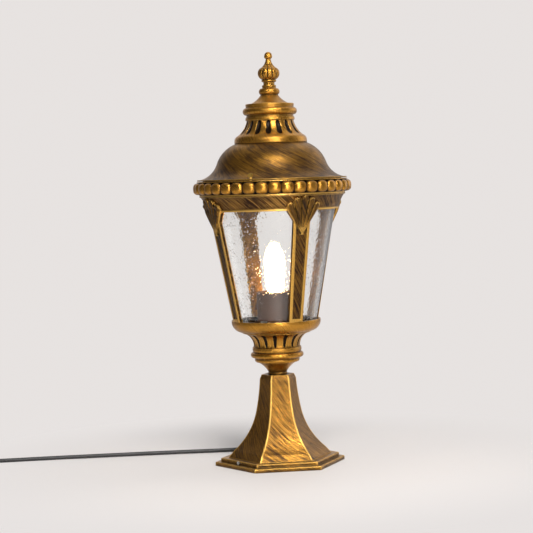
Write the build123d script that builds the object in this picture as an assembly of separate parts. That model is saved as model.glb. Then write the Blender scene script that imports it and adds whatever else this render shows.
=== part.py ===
from build123d import *
import math
import os

# A pedestal lantern for a gate pillar. All sizes are in millimetres, Z is up, the foot stands
# on Z = 0, the lantern's axis is the Z axis and one flat of the hexagonal foot faces -Y.

# Clearances
sliding_gap = 0.3       # between a part and the hole or recess that it drops into
screw_gap = 0.1         # round a screw in its hole
seat_gap = 0.1          # between two curved faces that lie on each other

# Hexagonal foot
foot_across = 138.0     # across the flats of the lower plate
foot_plate_height = 4.8
foot_step_inset = 6.0
foot_step_height = 4.5
foot_edge = 0.8
foot_bore_radius = 41.0

# Flared pedestal, each place given by its distance from the axis to a flat
flare_inset = 8.0       # lower edge of the flare behind the foot's step
crease_inset = 5.8
crease_rise = 7.7
waist_apothem = 24.2
waist_rise = 55.1
waist_lean = 10.7       # degrees off upright at the waist
shoulder_apothem = 19.3
shoulder_drop = 5.2
shoulder_inset = 2.0
pedestal_height = 99.7
pedestal_wall = 3.0
pedestal_top_wall = 5.0
boss_radius = 4.5
boss_circle_radius = 46.5
boss_height = 14.0

# Screws that hold the foot under the pedestal
foot_screw_radius = 1.95
foot_screw_head_radius = 3.8
foot_screw_head_height = 2.2
foot_screw_count = 3
foot_screw_reach = 9.0

# Mounting plate that is screwed to the pillar, and its two side screws
plate_thickness = 2.5
plate_hole_radius = 2.6
plate_hole_count = 3
plate_hole_circle = 62.0
plate_cable_radius = 9.0
plate_slot_width = 12.0
tab_width = 12.0
tab_thickness = 3.0
side_screw_radius = 1.5
side_screw_head_radius = 2.1
side_screw_head_height = 1.5

# Terminal block on the mounting plate
block_length = 20.0
block_depth = 12.0
block_height = 12.0
block_setback = 3.0     # behind the edge of the plate's cable hole
wire_radius = 1.1
wire_spacing = 3.8

# Threaded tube that clamps the column, with its nuts and washers
stem_radius = 5.0
stem_bore_radius = 3.5
stem_nut_across = 14.0
stem_nut_height = 5.5
stem_washer_radius = 12.0
stem_washer_thickness = 1.2
stem_tail = 3.0         # thread below the lower nut
earth_tag_thickness = 1.0
earth_tag_reach = 14.0

# Turned column
neck_height = 15.5
neck_radius = 11.0
neck_top_radius = 24.5
neck_bead_height = 2.6
knop_height = 18.5
knop_ring_radius = 27.0
knop_belly_radius = 32.2
cup_height = 18.5
cup_foot_radius = 28.3
cup_lip_radius = 40.0
cup_grooves = 16
cup_groove_width = 2.8
cup_groove_depth = 1.6
column_hollow_radius = 20.0
column_hollow_margin = 4.0

# Gallery: the dish that carries the posts and the glass
gallery_radius = 54.2
gallery_foot_radius = 43.0
gallery_height = 14.5
gallery_edge_height = 3.5
gallery_floor = 6.5     # from the gallery's underside up to its floor

# Four posts with palmette heads
post_count = 4
post_turn = 18.8        # degrees from the front of the foot to the first post
post_height = 133.0
post_thickness = 4.2
post_foot_width = 17.6
post_head_width = 21.8
post_border = 3.4
post_recess = 1.0
tenon_radius = 1.4
tenon_length = 4.0
fan_drop = 28.5         # from the post's head down to the point of the palmette
leaf_lengths = (42.0, 44.3, 45.6, 44.3, 42.0)
leaf_spread = 13.5      # degrees between two leaves
leaf_half_angle = 5.1
leaf_proud = 1.6
leaf_groove = 1.4
fan_root_radius = 1.8

# Glass cone
glass_gap = 0.5         # to the posts
glass_thickness = 3.0
glass_seal = 1.5
glass_above_posts = 5.0

# Frieze ring above the posts
frieze_radius = 80.2
frieze_height = 20.5
frieze_lip_height = 2.6
frieze_lip = 0.6
frieze_flare = 8.2      # of the crown beyond the frieze's foot
frieze_crown_height = 3.0
frieze_wall = 9.2
cove_rise = 4.0
cove_flare = 2.2
cove_hollow = 0.7

# Beaded rim
rim_height = 16.0
rim_core_step = 0.2     # of the core beyond the frieze's crown
bead_count = 38
bead_turn = -5.6        # degrees from the front of the foot to the first bead
bead_radius = 7.6
bead_sink = 0.2         # of the beads' circle inside the core
bead_height = 14.2
rim_ledge = 2.8         # of the ledge beyond the core
rim_ledge_height = 1.2
rim_bore_step = 1.0     # of the bore beyond the frieze's shelf

# Roof
flange_inset = 0.8      # of the roof's flange behind the rim's ledge
flange_thickness = 1.5
flange_width = 3.6      # from the flange's edge to the eave
haunch_inset = 20.6     # from the eave to the haunch
haunch_rise = 20.0
haunch_lean = 71.0      # degrees off level at the haunch
roof_sheet = 2.1
roof_height = 44.1
roof_top_radius = 44.0
roof_seal = 0.6
roof_seal_width = 8.0

# Fluted cap on the roof
skirt_height = 31.4
skirt_band_height = 10.4
skirt_neck_radius = 39.0
skirt_throat_radius = 28.4
skirt_top_radius = 29.8
skirt_top_height = 4.0
skirt_flutes = 16
skirt_flute_width = 4.8
skirt_flute_depth = 1.8
skirt_wall = 3.6
collar_height = 16.5
collar_radius = 28.4
collar_belly_radius = 4.5

# Finial
finial_base_height = 24.0
finial_base_radius = 23.5
finial_bead_radius = 12.6
finial_fillet_radius = 8.6
finial_throat_radius = 6.8
finial_height = 38.5
finial_ring_radius = 9.1
onion_radius = 13.2
onion_lobes = 12
onion_groove_width = 1.6
onion_groove_depth = 1.3
finial_neck_radius = 3.1
ball_radius = 4.7

# Rod that clamps the roof and its finial
rod_radius = 3.0
rod_reach = 12.0        # into the finial
rod_tail = 2.5
rod_nut_across = 10.0
rod_nut_height = 5.0
rod_washer_radius = 9.0
rod_washer_thickness = 1.2

# Thumb screws that hold the roof down
thumb_screw_count = 2
thumb_screw_turn = -24.0    # degrees from the front of the foot
thumb_screw_inset = 4.2     # from the flange's edge to the screw's axis
thumb_screw_radius = 1.5
thumb_screw_reach = 8.0
thumb_collar_radius = 2.2
thumb_collar_height = 1.4
thumb_wing_width = 6.4
thumb_wing_height = 5.6
thumb_wing_thickness = 2.0

# Screws through the frieze into the posts, and down through the rim into the frieze
frieze_screw_radius = 1.25
frieze_screw_head_radius = 2.4
frieze_screw_head_height = 1.4
frieze_screw_rise = 9.3
rim_screw_radius = 1.5
rim_screw_head_radius = 2.9
rim_screw_count = 4
rim_screw_reach = 12.0

# Lampholder, its sleeve and the glass clips
holder_lift = 8.0       # lampholder above the gallery floor
holder_radius = 19.5
holder_height = 31.0
holder_base = 12.0
socket_radius = 14.6
shell_wall = 0.5
thread_grip = 8.0       # of the stem in the lampholder
contact_radius = 3.0
contact_height = 2.4
sleeve_radius = 23.0
sleeve_wall = 1.2
sleeve_height = 42.0
clip_count = 4
clip_width = 8.0
clip_sheet = 1.0
clip_height = 9.5
clip_foot = 9.0
clip_screw_radius = 1.4
clip_screw_head_radius = 2.6
clip_screw_head_height = 1.8
clip_screw_reach = 3.5

# Lamp
lamp_cap_radius = 13.2
lamp_cap_height = 17.0
lamp_tip_radius = 5.0
lamp_tip_height = 3.0
lamp_height = 79.0      # from its contact to the top of its glass
lamp_radius = 12.4
lamp_throat_radius = 9.6
lamp_glass = 0.8
lamp_stem_radius = 4.0
lamp_stem_height = 18.0
filament_radius = 0.9
filament_length = 26.0
filament_count = 4
filament_circle_radius = 4.6

# Supply cable, its strain relief, coil and plug
cable_diameter = 5.0
relief_radius = 3.7
relief_tip_radius = 3.1
relief_flange_radius = 5.2
relief_flange_length = 2.0
relief_axis_height = 3.9
relief_overhang = 0.5
coil_centre = (-392.0, 65.2)
coil_outer_radius = 39.8
coil_pitch = 5.6
coil_layer_step = 5.5
coil_reversal = 1.8     # further inwards in the half turn before the climb, and out again after it
coil_half_turns_in = 7
coil_quarter_turns_out = 13
plug_length = 36.0
plug_width = 35.2
plug_thickness = 13.8
plug_throat_width = 13.0
plug_boot_length = 16.0
plug_boot_radius = 4.6
tail_reach = 27.0       # from the end of the coil to the plug
pin_radius = 2.0
pin_length = 19.0
pin_spacing = 18.6

# Heights of the joints between pieces, from the ground up
foot_top = foot_plate_height + foot_step_height
pedestal_top = foot_top + pedestal_height
neck_top = pedestal_top + neck_height
knop_top = neck_top + knop_height
cup_top = knop_top + cup_height
gallery_top = cup_top + gallery_height
floor_top = cup_top + gallery_floor
frieze_bottom = gallery_top + post_height
frieze_top = frieze_bottom + frieze_height
rim_top = frieze_top + rim_height
seal_top = rim_top + roof_seal
roof_top = seal_top + roof_height - roof_seal
skirt_top = roof_top + skirt_height
collar_top = skirt_top + collar_height
finial_bottom = collar_top + finial_base_height
finial_top = finial_bottom + finial_height

# Distances from the axis that follow the frieze, from its foot up to the roof
frieze_shelf_radius = frieze_radius - frieze_wall
frieze_crown_radius = frieze_radius + frieze_flare
rim_core_radius = frieze_crown_radius + rim_core_step
rim_bore_radius = frieze_shelf_radius + rim_bore_step
rim_ledge_radius = rim_core_radius + rim_ledge
rim_screw_circle_radius = (frieze_shelf_radius + frieze_radius) / 2
bead_circle_radius = rim_core_radius - bead_sink
flange_radius = rim_ledge_radius - flange_inset
eave_radius = flange_radius - flange_width
haunch_radius = eave_radius - haunch_inset
thumb_screw_circle_radius = flange_radius - thumb_screw_inset

cage_slope = (frieze_radius - gallery_radius) / post_height
fan_rise = post_height - fan_drop
slice_width = 60.0      # degrees, wider than any post
cable_radius = cable_diameter / 2
overshoot = 1.0         # how far a cutting solid passes the face that it cuts
parts = {}


def direction(turn):
    """Unit vector in plan at an angle in degrees from the front, positive to the right."""
    return Vector(math.sin(math.radians(turn)), -math.cos(math.radians(turn)), 0)


def outline(*steps):
    """Closed face: (r, z) is reached by a line, (r, z, bulge) by an arc that bulges to its left."""
    edges = []
    here = steps[0][:2]
    for step in steps[1:] + (steps[0][:2],):
        there = step[:2]
        if there == here:
            continue
        edges.append(SagittaArc(here, there, step[2]) if len(step) == 3 else Line(here, there))
        here = there
    return make_face(edges)


def turned(*steps):
    """Solid of revolution of an outline round the lantern's axis."""
    return revolve(Plane.XZ * outline(*steps), Axis.Z)


def post_radius(height):
    """Outer radius of the posts at a height."""
    return gallery_radius + (height - gallery_top) * cage_slope


def glass_radius(height):
    """Outer radius of the glass cone at a height."""
    return post_radius(height) - post_thickness - glass_gap


def tube_between(outer, inner, bottom, top):
    """Plain ring between two heights."""
    return turned((inner, bottom), (inner, top), (outer, top), (outer, bottom))


def hexagon(across, bottom, top):
    """Hexagonal prism with flats on +Y and -Y."""
    shape = RegularPolygon(across / 2, 6, major_radius=False)
    return extrude(Pos(0, 0, bottom) * shape, top - bottom)


def around(solid, count, start=0.0):
    """Copies of a solid that stands at the front, spread evenly round the axis."""
    return [Rot(0, 0, start + 360.0 * k / count) * solid for k in range(count)]


def cylinder_at(radius, bottom, top, place=(0, 0)):
    """Upright cylinder between two heights."""
    return Pos(place[0], place[1], (bottom + top) / 2) * Cylinder(radius, top - bottom)


def hex_nut(across, bore, bottom, top):
    """Plain hexagonal nut round the axis."""
    return hexagon(across, bottom, top) - cylinder_at(bore, bottom - overshoot, top + overshoot)


# Foot and pedestal


def foot():
    step_across = foot_across - 2 * foot_step_inset
    plate = hexagon(foot_across, 0, foot_plate_height)
    plate = chamfer(plate.faces().sort_by(Axis.Z)[-1].edges(), foot_edge)
    step = hexagon(step_across, foot_plate_height, foot_top)
    step = chamfer(step.faces().sort_by(Axis.Z)[-1].edges(), foot_edge)
    body = plate + step
    body -= cylinder_at(foot_bore_radius, -overshoot, foot_top + overshoot)
    for place in foot_screw_places():
        hole = foot_screw_radius + screw_gap
        body -= cylinder_at(hole, -overshoot, foot_top + overshoot, place)
        body -= countersink(place)
    for hole in around(side_screw_bore(), 2, side_screw_start):
        body -= hole
    body -= cable_slot()
    return body


def foot_screw_places():
    step = 360.0 / foot_screw_count
    spots = [math.radians(step * k) for k in range(foot_screw_count)]
    return [(boss_circle_radius * math.cos(a), boss_circle_radius * math.sin(a)) for a in spots]


def countersink(place, shrink=0.0):
    """Cone under the foot for a countersunk head."""
    wide = foot_screw_head_radius + screw_gap - shrink
    narrow = foot_screw_radius + screw_gap - shrink
    cone = Cone(wide, narrow, foot_screw_head_height)
    return Pos(place[0], place[1], foot_screw_head_height / 2) * cone


def foot_screws():
    top = foot_top + foot_screw_reach
    screws = []
    for place in foot_screw_places():
        head = countersink(place, screw_gap) - cylinder_at(foot_screw_head_radius, 0, 0.2, place)
        screws.append(head + cylinder_at(foot_screw_radius, 0.2, top, place))
    return Compound(children=screws)


side_screw_start = -60.0
side_screw_height = foot_plate_height + foot_step_height / 2
tab_radius = foot_bore_radius - sliding_gap


def side_screw_face():
    return foot_across / 2 - foot_step_inset


def side_screw_bore():
    length = foot_across / 2
    bore = Cylinder(side_screw_radius + screw_gap, length, align=(Align.CENTER, Align.CENTER, Align.MIN))
    return Pos(0, 0, side_screw_height) * Rot(90, 0, 0) * bore


def side_screw():
    inner = tab_radius - tab_thickness - 0.5
    outer = side_screw_face()
    shank = Pos(0, -inner, side_screw_height) * Rot(90, 0, 0) * Cylinder(
        side_screw_radius, outer - inner, align=(Align.CENTER, Align.CENTER, Align.MIN))
    head = Pos(0, -outer, side_screw_height) * Rot(90, 0, 0) * Cylinder(
        side_screw_head_radius, side_screw_head_height, align=(Align.CENTER, Align.CENTER, Align.MIN))
    return shank + head


def cable_slot():
    """Notch through the back of the foot for the strain relief."""
    half = relief_radius + screw_gap
    far = foot_across / 2 + overshoot
    near = foot_bore_radius - 2 * overshoot
    arch = Pos(0, far, relief_axis_height) * Rot(90, 0, 0) * Cylinder(
        half, far - near, align=(Align.CENTER, Align.CENTER, Align.MIN))
    middle = Pos(0, (far + near) / 2, (relief_axis_height - overshoot) / 2)
    mouth = middle * Box(2 * half, far - near, relief_axis_height + overshoot)
    return arch + mouth


def flared_hexagon(bottom, crease, waist, shoulder, top):
    """Flared hexagonal column: each argument is (distance of the flats from the axis, height)."""
    lean = math.radians(waist_lean)
    down = (math.sin(lean), -math.cos(lean))
    up = (-down[0], -down[1])
    side = [
        Line((0, bottom[1]), bottom),
        Line(bottom, crease),
        TangentArc(waist, crease, tangent=down),
        TangentArc(waist, shoulder, tangent=up),
        Line(shoulder, top),
        Line(top, (0, top[1])),
        Line((0, top[1]), (0, bottom[1])),
    ]
    half = make_face(side)
    whole = Plane.YZ * (half + mirror(half, Plane.YZ))
    slab = extrude(whole, 2 * bottom[0], both=True)
    return slab & (Rot(0, 0, 60) * slab) & (Rot(0, 0, 120) * slab)


def pedestal():
    flare = foot_across / 2 - foot_step_inset - flare_inset
    crease = flare - crease_inset
    outer = flared_hexagon(
        (flare, foot_top),
        (crease, foot_top + crease_rise),
        (waist_apothem, foot_top + waist_rise),
        (shoulder_apothem, pedestal_top - shoulder_drop),
        (shoulder_apothem - shoulder_inset, pedestal_top),
    )
    ceiling = pedestal_top - pedestal_top_wall
    inner = flared_hexagon(
        (flare - pedestal_wall, foot_top),
        (crease - pedestal_wall, foot_top + crease_rise),
        (waist_apothem - pedestal_wall, foot_top + waist_rise),
        (shoulder_apothem - pedestal_wall, ceiling - overshoot),
        (shoulder_apothem - pedestal_wall, ceiling),
    )
    bosses = Part()
    holes = Part()
    for place in foot_screw_places():
        bosses += cylinder_at(boss_radius, foot_top, foot_top + boss_height, place)
        hole = foot_screw_radius + screw_gap
        holes += cylinder_at(hole, foot_top - overshoot, foot_top + foot_screw_reach + 0.5, place)
    body = (outer - inner) + (bosses & outer)
    return body - holes - stem_bore(ceiling - overshoot, pedestal_top + overshoot)


def mount_plate():
    plate = cylinder_at(tab_radius, 0, plate_thickness)
    plate -= cylinder_at(plate_cable_radius, -overshoot, plate_thickness + overshoot)
    for k in range(plate_hole_count):
        spot = direction(90 + 360.0 * k / plate_hole_count + 180) * (plate_hole_circle / 2)
        plate -= cylinder_at(plate_hole_radius, -overshoot, plate_thickness + overshoot, (spot.X, spot.Y))
    slot_start = plate_cable_radius + 5.0
    plate -= Pos(0, (slot_start + foot_bore_radius) / 2, plate_thickness / 2) * Box(
        plate_slot_width, foot_bore_radius - slot_start, plate_thickness + 2 * overshoot)
    tab_top = foot_top - sliding_gap
    tab = Pos(0, -(tab_radius - tab_thickness / 2), tab_top / 2) * Box(tab_width, tab_thickness, tab_top)
    tab &= cylinder_at(tab_radius, 0, tab_top)
    bore = side_screw_bore()
    for one in around(tab - bore, 2, side_screw_start):
        plate += one
    return plate


# Wiring


block_y = -(plate_cable_radius + block_setback + block_depth / 2)
block_top = plate_thickness + block_height


def terminal_block():
    block = Pos(0, block_y, plate_thickness + block_height / 2) * Box(block_length, block_depth, block_height)
    block = chamfer(block.edges().filter_by(Axis.Z), 1.5)
    for x in (-block_length / 4, block_length / 4):
        block -= cylinder_at(1.8, block_top - 2.0, block_top + overshoot, (x, block_y - block_depth / 4))
    return block


def terminal_screws():
    heads = [cylinder_at(1.6, block_top - 2.0, block_top - 0.6, (x, block_y - block_depth / 4))
             for x in (-block_length / 4, block_length / 4)]
    return Compound(children=heads)


def round_wire(points, radius, radii=None):
    """Tube of round section along straight runs joined by arcs."""
    if radii is None:
        radii = corner_radii(points)
    path = FilletPolyline(*points, radius=radii)
    section = Plane(path @ 0, z_dir=path % 0) * Circle(radius)
    return sweep(section, path)


def corner_radii(points):
    """Radius of each corner: as large as 0.45 of its shorter run allows."""
    radii = []
    for before, here, after in zip(points, points[1:], points[2:]):
        a = Vector(*here) - Vector(*before)
        b = Vector(*after) - Vector(*here)
        half_turn = math.radians(a.get_angle(b) / 2)
        radii.append(0.45 * min(a.length, b.length) / math.tan(half_turn))
    return radii


def lamp_wire(side):
    """Wire from the terminal block up the threaded tube to the lampholder."""
    x = side * wire_spacing / 2
    points = [
        (side * block_length / 4, block_y + block_depth / 4, block_top),
        (side * block_length / 4, block_y + block_depth / 4, block_top + 18),
        (x, 0, stem_bottom - 12),
        (x, 0, stem_top),
    ]
    return round_wire(points, wire_radius)


def earth_wire():
    points = [
        (0, block_y - block_depth / 4, block_top),
        (0, block_y - block_depth / 4, block_top + 16),
        (earth_tag_reach - 2.5, 0, stem_nut_bottom - 20),
        (earth_tag_reach - 2.5, 0, stem_nut_bottom - earth_tag_thickness),
    ]
    return round_wire(points, wire_radius)


def inner_cable():
    """Supply cable between the strain relief and the terminal block."""
    start = relief_inner_end
    end = block_y + block_depth / 2
    high = plate_thickness + block_height / 2
    points = [
        (0, start, relief_axis_height),
        (0, start - 11, relief_axis_height),
        (0, end + 14, high),
        (0, end, high),
    ]
    return round_wire(points, cable_radius)


# Threaded tube, nuts and washers


stem_nut_top = pedestal_top - pedestal_top_wall - stem_washer_thickness
stem_nut_bottom = stem_nut_top - stem_nut_height
stem_bottom = stem_nut_bottom - earth_tag_thickness - stem_tail
stem_top = floor_top + holder_lift + thread_grip


def stem_bore(bottom, top):
    return cylinder_at(stem_radius + sliding_gap, bottom, top)


def stem_tube():
    return tube_between(stem_radius, stem_bore_radius, stem_bottom, stem_top)


def stem_washer(bottom):
    return tube_between(stem_washer_radius, stem_radius + screw_gap, bottom, bottom + stem_washer_thickness)


def stem_nut(bottom):
    return hex_nut(stem_nut_across, stem_radius + screw_gap / 2, bottom, bottom + stem_nut_height)


def earth_tag():
    bottom = stem_nut_bottom - earth_tag_thickness
    ring = cylinder_at(stem_nut_across / 2, bottom, stem_nut_bottom)
    tongue = Pos(earth_tag_reach / 2, 0, bottom + earth_tag_thickness / 2) * Box(
        earth_tag_reach, 4.0, earth_tag_thickness)
    hole = cylinder_at(stem_radius + screw_gap, bottom - overshoot, stem_nut_bottom + overshoot)
    return ring + tongue - hole


# Turned column


def neck():
    bead_top = pedestal_top + neck_bead_height
    return turned(
        (stem_radius + sliding_gap, neck_top),
        (neck_top_radius, neck_top),
        (neck_radius, bead_top, -1.6),
        (neck_radius + 0.3, pedestal_top, 0.8),
        (stem_radius + sliding_gap, pedestal_top),
    )


def hollow_column(body, bottom, top):
    return body - cylinder_at(column_hollow_radius, bottom, top)


def knop():
    ring = neck_top + 4.2
    belly_bottom = neck_top + 5.2
    belly_top = neck_top + 12.0
    body = turned(
        (stem_radius + sliding_gap, knop_top),
        (cup_foot_radius + 0.4, knop_top),
        (cup_foot_radius + 1.4, knop_top - 1.8, 0.5),
        (cup_foot_radius + 0.6, belly_top, 0.5),
        (knop_belly_radius - 3.0, belly_top),
        (knop_belly_radius - 3.0, belly_bottom, 3.0),
        (knop_ring_radius, ring),
        (knop_ring_radius - 1.0, neck_top, 0.8),
        (stem_radius + sliding_gap, neck_top),
    )
    return hollow_column(body, neck_top + column_hollow_margin, knop_top + overshoot)


def groove_between(bottom, top, bottom_width, top_width):
    """Front view of an upright groove, round at its ends."""
    low = bottom + bottom_width / 2
    high = top - top_width / 2
    return make_face([
        Line((-bottom_width / 2, low), (-top_width / 2, high)),
        ThreePointArc((-top_width / 2, high), (0, top), (top_width / 2, high)),
        Line((top_width / 2, high), (bottom_width / 2, low)),
        ThreePointArc((bottom_width / 2, low), (0, bottom), (-bottom_width / 2, low)),
    ])


def fluted(body, surface, count, groove):
    """Cut grooves of one front view round a body; surface is the zone that they may cut away."""
    cutter = Part() + around(seen_from_front(groove), count)
    return body - (cutter & surface)


def cup():
    cove = -3.4
    rim = cup_top - 1.6
    body = turned(
        (stem_radius + sliding_gap, cup_top),
        (cup_lip_radius + 2.0, cup_top),
        (cup_lip_radius, rim, 0.5),
        (cup_foot_radius, knop_top, cove),
        (stem_radius + sliding_gap, knop_top),
    )
    surface = turned(
        (cup_lip_radius - cup_groove_depth, rim),
        (cup_lip_radius + 2.0, rim),
        (cup_lip_radius + 2.0, knop_top + 1.0),
        (cup_foot_radius - cup_groove_depth, knop_top + 1.0),
        (cup_lip_radius - cup_groove_depth, rim, -cove),
    )
    narrow = cup_groove_width * cup_foot_radius / cup_lip_radius
    groove = groove_between(knop_top + 1.0, rim - 0.4, narrow, cup_groove_width)
    body = fluted(body, surface, cup_grooves, groove)
    return hollow_column(body, knop_top - overshoot, cup_top + overshoot)


def gallery():
    recess = post_radius(gallery_top) - post_thickness
    body = turned(
        (stem_radius + sliding_gap, floor_top),
        (recess, floor_top),
        (recess, gallery_top),
        (gallery_radius, gallery_top),
        (gallery_radius, gallery_top - gallery_edge_height),
        (gallery_foot_radius, cup_top, 2.6),
        (stem_radius + sliding_gap, cup_top),
    )
    depth = gallery_top - tenon_length - sliding_gap
    for hole in around(tenon(depth, gallery_top + overshoot, screw_gap / 2), post_count, post_turn):
        body -= hole
    for hole in around(clip_screw_hole(), clip_count, clip_start):
        body -= hole
    return body


# Posts


def tenon(bottom, top, gap=0.0):
    """Pin under a post at the front, or with a gap the hole for it."""
    return cylinder_at(tenon_radius + gap, bottom, top, (0, -(gallery_radius - post_thickness / 2)))


def front_sector(face, width=slice_width):
    """Part of a solid of revolution, centred on the front."""
    return Rot(0, 0, -90 - width / 2) * revolve(Plane.XZ * face, Axis.Z, width)


def frieze_face(inner, lift):
    """Steps of the frieze's outer face from its foot up to its crown, moved outwards by lift."""
    cove_foot = frieze_bottom + frieze_lip_height
    cove_bend = cove_foot + cove_rise
    crown = frieze_top - frieze_crown_height
    low = frieze_radius - frieze_lip + inner
    return [
        (low + lift, cove_foot),
        (low + cove_flare + lift, cove_bend),
        (frieze_crown_radius - 1.2 + lift, crown, cove_hollow),
    ]


def post_shell(bottom, top, proud):
    """Sector between the posts' inner face and their outer face, moved outwards by proud."""
    return front_sector(outline(
        (post_radius(bottom) - post_thickness, bottom),
        (post_radius(bottom) + proud, bottom),
        (post_radius(top) + proud, top),
        (post_radius(top) - post_thickness, top),
    ))


def fan_shell(proud):
    """Sector that the palmette is cut from: on the post below, against the frieze above."""
    low = gallery_top + fan_rise
    lip = frieze_radius + seat_gap
    crown = frieze_top - frieze_crown_height - sliding_gap
    outer = leaf_proud + seat_gap + proud
    return front_sector(outline(
        (post_radius(low) - post_thickness, low),
        (post_radius(low) + proud, low),
        (frieze_radius + outer, frieze_bottom),
        (frieze_radius + outer, frieze_bottom + frieze_lip_height),
        (frieze_radius + cove_flare + outer, frieze_bottom + frieze_lip_height + cove_rise),
        (frieze_crown_radius + proud, crown, cove_hollow),
        (frieze_crown_radius - 1.2 + seat_gap, crown),
        (lip + cove_flare, frieze_bottom + frieze_lip_height + cove_rise, -cove_hollow),
        (lip, frieze_bottom + frieze_lip_height),
        (lip, frieze_bottom),
        (post_radius(frieze_bottom) - post_thickness, frieze_bottom),
    ))


def leaf_outline(angle, length, half):
    """One leaf of the palmette, seen from the front, with its point at the palmette's foot."""
    foot_point = Vector(0, gallery_top + fan_rise)

    def place(turn, reach):
        lean = math.radians(turn)
        return foot_point + Vector(math.sin(lean), math.cos(lean)) * reach

    left = place(angle - half, 0.93 * length)
    right = place(angle + half, 0.93 * length)
    return make_face([
        Line(foot_point, left),
        ThreePointArc(left, place(angle, length), right),
        Line(right, foot_point),
    ])


def seen_from_front(face):
    """Prism of a front view, from the axis outwards."""
    return extrude(Plane.XZ * face, 2 * rim_core_radius)


def post():
    middle = (len(leaf_lengths) - 1) / 2
    angles = [(k - middle) * leaf_spread for k in range(len(leaf_lengths))]
    widest = math.radians(angles[-1] + leaf_half_angle)
    foot_half = post_foot_width / 2
    head_half = post_head_width / 2
    shoulder = gallery_top + fan_rise + head_half / math.tan(widest) + 2.0
    body_face = outline(
        (-foot_half, gallery_top),
        (foot_half, gallery_top),
        (head_half, shoulder),
        (-head_half, shoulder),
    )
    panel_face = outline(
        (-(foot_half - post_border), gallery_top + post_border),
        (foot_half - post_border, gallery_top + post_border),
        (head_half - post_border, shoulder),
        (-(head_half - post_border), shoulder),
    )
    root = Pos(0, gallery_top + fan_rise) * Circle(fan_root_radius)
    leaf_faces = [leaf_outline(a, n, leaf_half_angle) for a, n in zip(angles, leaf_lengths)]
    leaves = seen_from_front(Sketch() + leaf_faces + root)
    web_faces = [leaf_outline(a, n - 1.2, leaf_spread / 2 + 0.2) for a, n in zip(angles, leaf_lengths)]
    web = seen_from_front(Sketch() + web_faces)
    body = post_shell(gallery_top, shoulder, 0.0) & seen_from_front(body_face)
    groove = post_shell(gallery_top, shoulder, overshoot) - post_shell(gallery_top, shoulder, -post_recess)
    body -= groove & seen_from_front(panel_face)
    body += fan_shell(leaf_proud - leaf_groove) & web
    body += fan_shell(leaf_proud) & leaves
    body += tenon(gallery_top - tenon_length, gallery_top + 0.5)
    body -= frieze_screw_bore()
    return body


# Frieze, rim and their screws


def frieze():
    rise = frieze_bottom + frieze_lip_height
    glass_room = glass_radius(frieze_bottom + glass_above_posts) + sliding_gap
    shelf = frieze_bottom + glass_above_posts + glass_seal
    cove = frieze_face(0.0, 0.0)
    body = turned(
        (frieze_shelf_radius, shelf),
        (glass_room, shelf),
        (glass_room, frieze_bottom),
        (frieze_radius, frieze_bottom),
        (frieze_radius, rise),
        cove[0],
        cove[1],
        cove[2],
        (frieze_crown_radius, frieze_top - frieze_crown_height),
        (frieze_crown_radius, frieze_top),
        (frieze_shelf_radius, frieze_top),
    )
    for bore in around(frieze_screw_bore(), post_count, post_turn):
        body -= bore
    for hole in around(rim_screw_shape(screw_gap), rim_screw_count, rim_screw_start):
        body -= hole
    return body


frieze_screw_height = frieze_bottom + frieze_screw_rise
frieze_screw_tip = frieze_radius + cove_flare + leaf_proud


def radial_cylinder(radius, start, end, height):
    """Level cylinder at the front, from one distance off the axis to another."""
    return Pos(0, -start, height) * Rot(90, 0, 0) * Cylinder(
        radius, end - start, align=(Align.CENTER, Align.CENTER, Align.MIN))


def frieze_screw_bore():
    start = frieze_shelf_radius - overshoot
    end = frieze_screw_tip + 0.2
    head_end = frieze_shelf_radius + frieze_screw_head_height + screw_gap
    shank = radial_cylinder(frieze_screw_radius + screw_gap, start, end, frieze_screw_height)
    return shank + radial_cylinder(frieze_screw_head_radius + screw_gap, start, head_end, frieze_screw_height)


def frieze_screw():
    head_start = frieze_shelf_radius + screw_gap
    shank = radial_cylinder(frieze_screw_radius, head_start, frieze_screw_tip, frieze_screw_height)
    head_end = head_start + frieze_screw_head_height
    return shank + radial_cylinder(frieze_screw_head_radius, head_start, head_end, frieze_screw_height)


rim_screw_start = post_turn + 180.0 / rim_screw_count


def rim_screw_shape(gap):
    """Countersunk screw from the top of the rim down into the frieze."""
    place = (0, -rim_screw_circle_radius)
    reach = rim_screw_reach + rim_height
    shank = cylinder_at(rim_screw_radius + gap, rim_top - reach - gap, rim_top, place)
    sink = rim_screw_head_radius - rim_screw_radius
    cone = Pos(place[0], place[1], rim_top - sink / 2) * Cone(
        rim_screw_radius + gap, rim_screw_head_radius + gap, sink)
    return shank + cone


def bead_rim():
    core = turned(
        (rim_bore_radius, rim_top),
        (rim_ledge_radius - 0.4, rim_top),
        (rim_ledge_radius, rim_top - 0.4),
        (rim_ledge_radius, rim_top - rim_ledge_height),
        (rim_core_radius, rim_top - rim_ledge_height),
        (rim_core_radius, frieze_top),
        (rim_bore_radius, frieze_top),
    )
    mid = frieze_top + (rim_height - rim_ledge_height) / 2
    half = bead_height / 2
    bead_face = outline(
        (0, mid + half),
        (0.7 * bead_radius, mid + half),
        (bead_radius, mid + 0.5 * half),
        (bead_radius, mid - 0.5 * half),
        (0.7 * bead_radius, mid - half),
        (0, mid - half),
    )
    bead = Pos(0, -bead_circle_radius, 0) * revolve(Plane.XZ * bead_face, Axis.Z)
    body = core + around(bead, bead_count, bead_turn)
    for hole in around(rim_screw_shape(screw_gap), rim_screw_count, rim_screw_start):
        body -= hole
    depth = rim_top - thumb_screw_reach - 0.5
    place = (0, -thumb_screw_circle_radius)
    hole = cylinder_at(thumb_screw_radius + screw_gap, depth, rim_top + overshoot, place)
    for one in around(hole, thumb_screw_count, thumb_screw_turn):
        body -= one
    return body


# Glass and its seals


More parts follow.
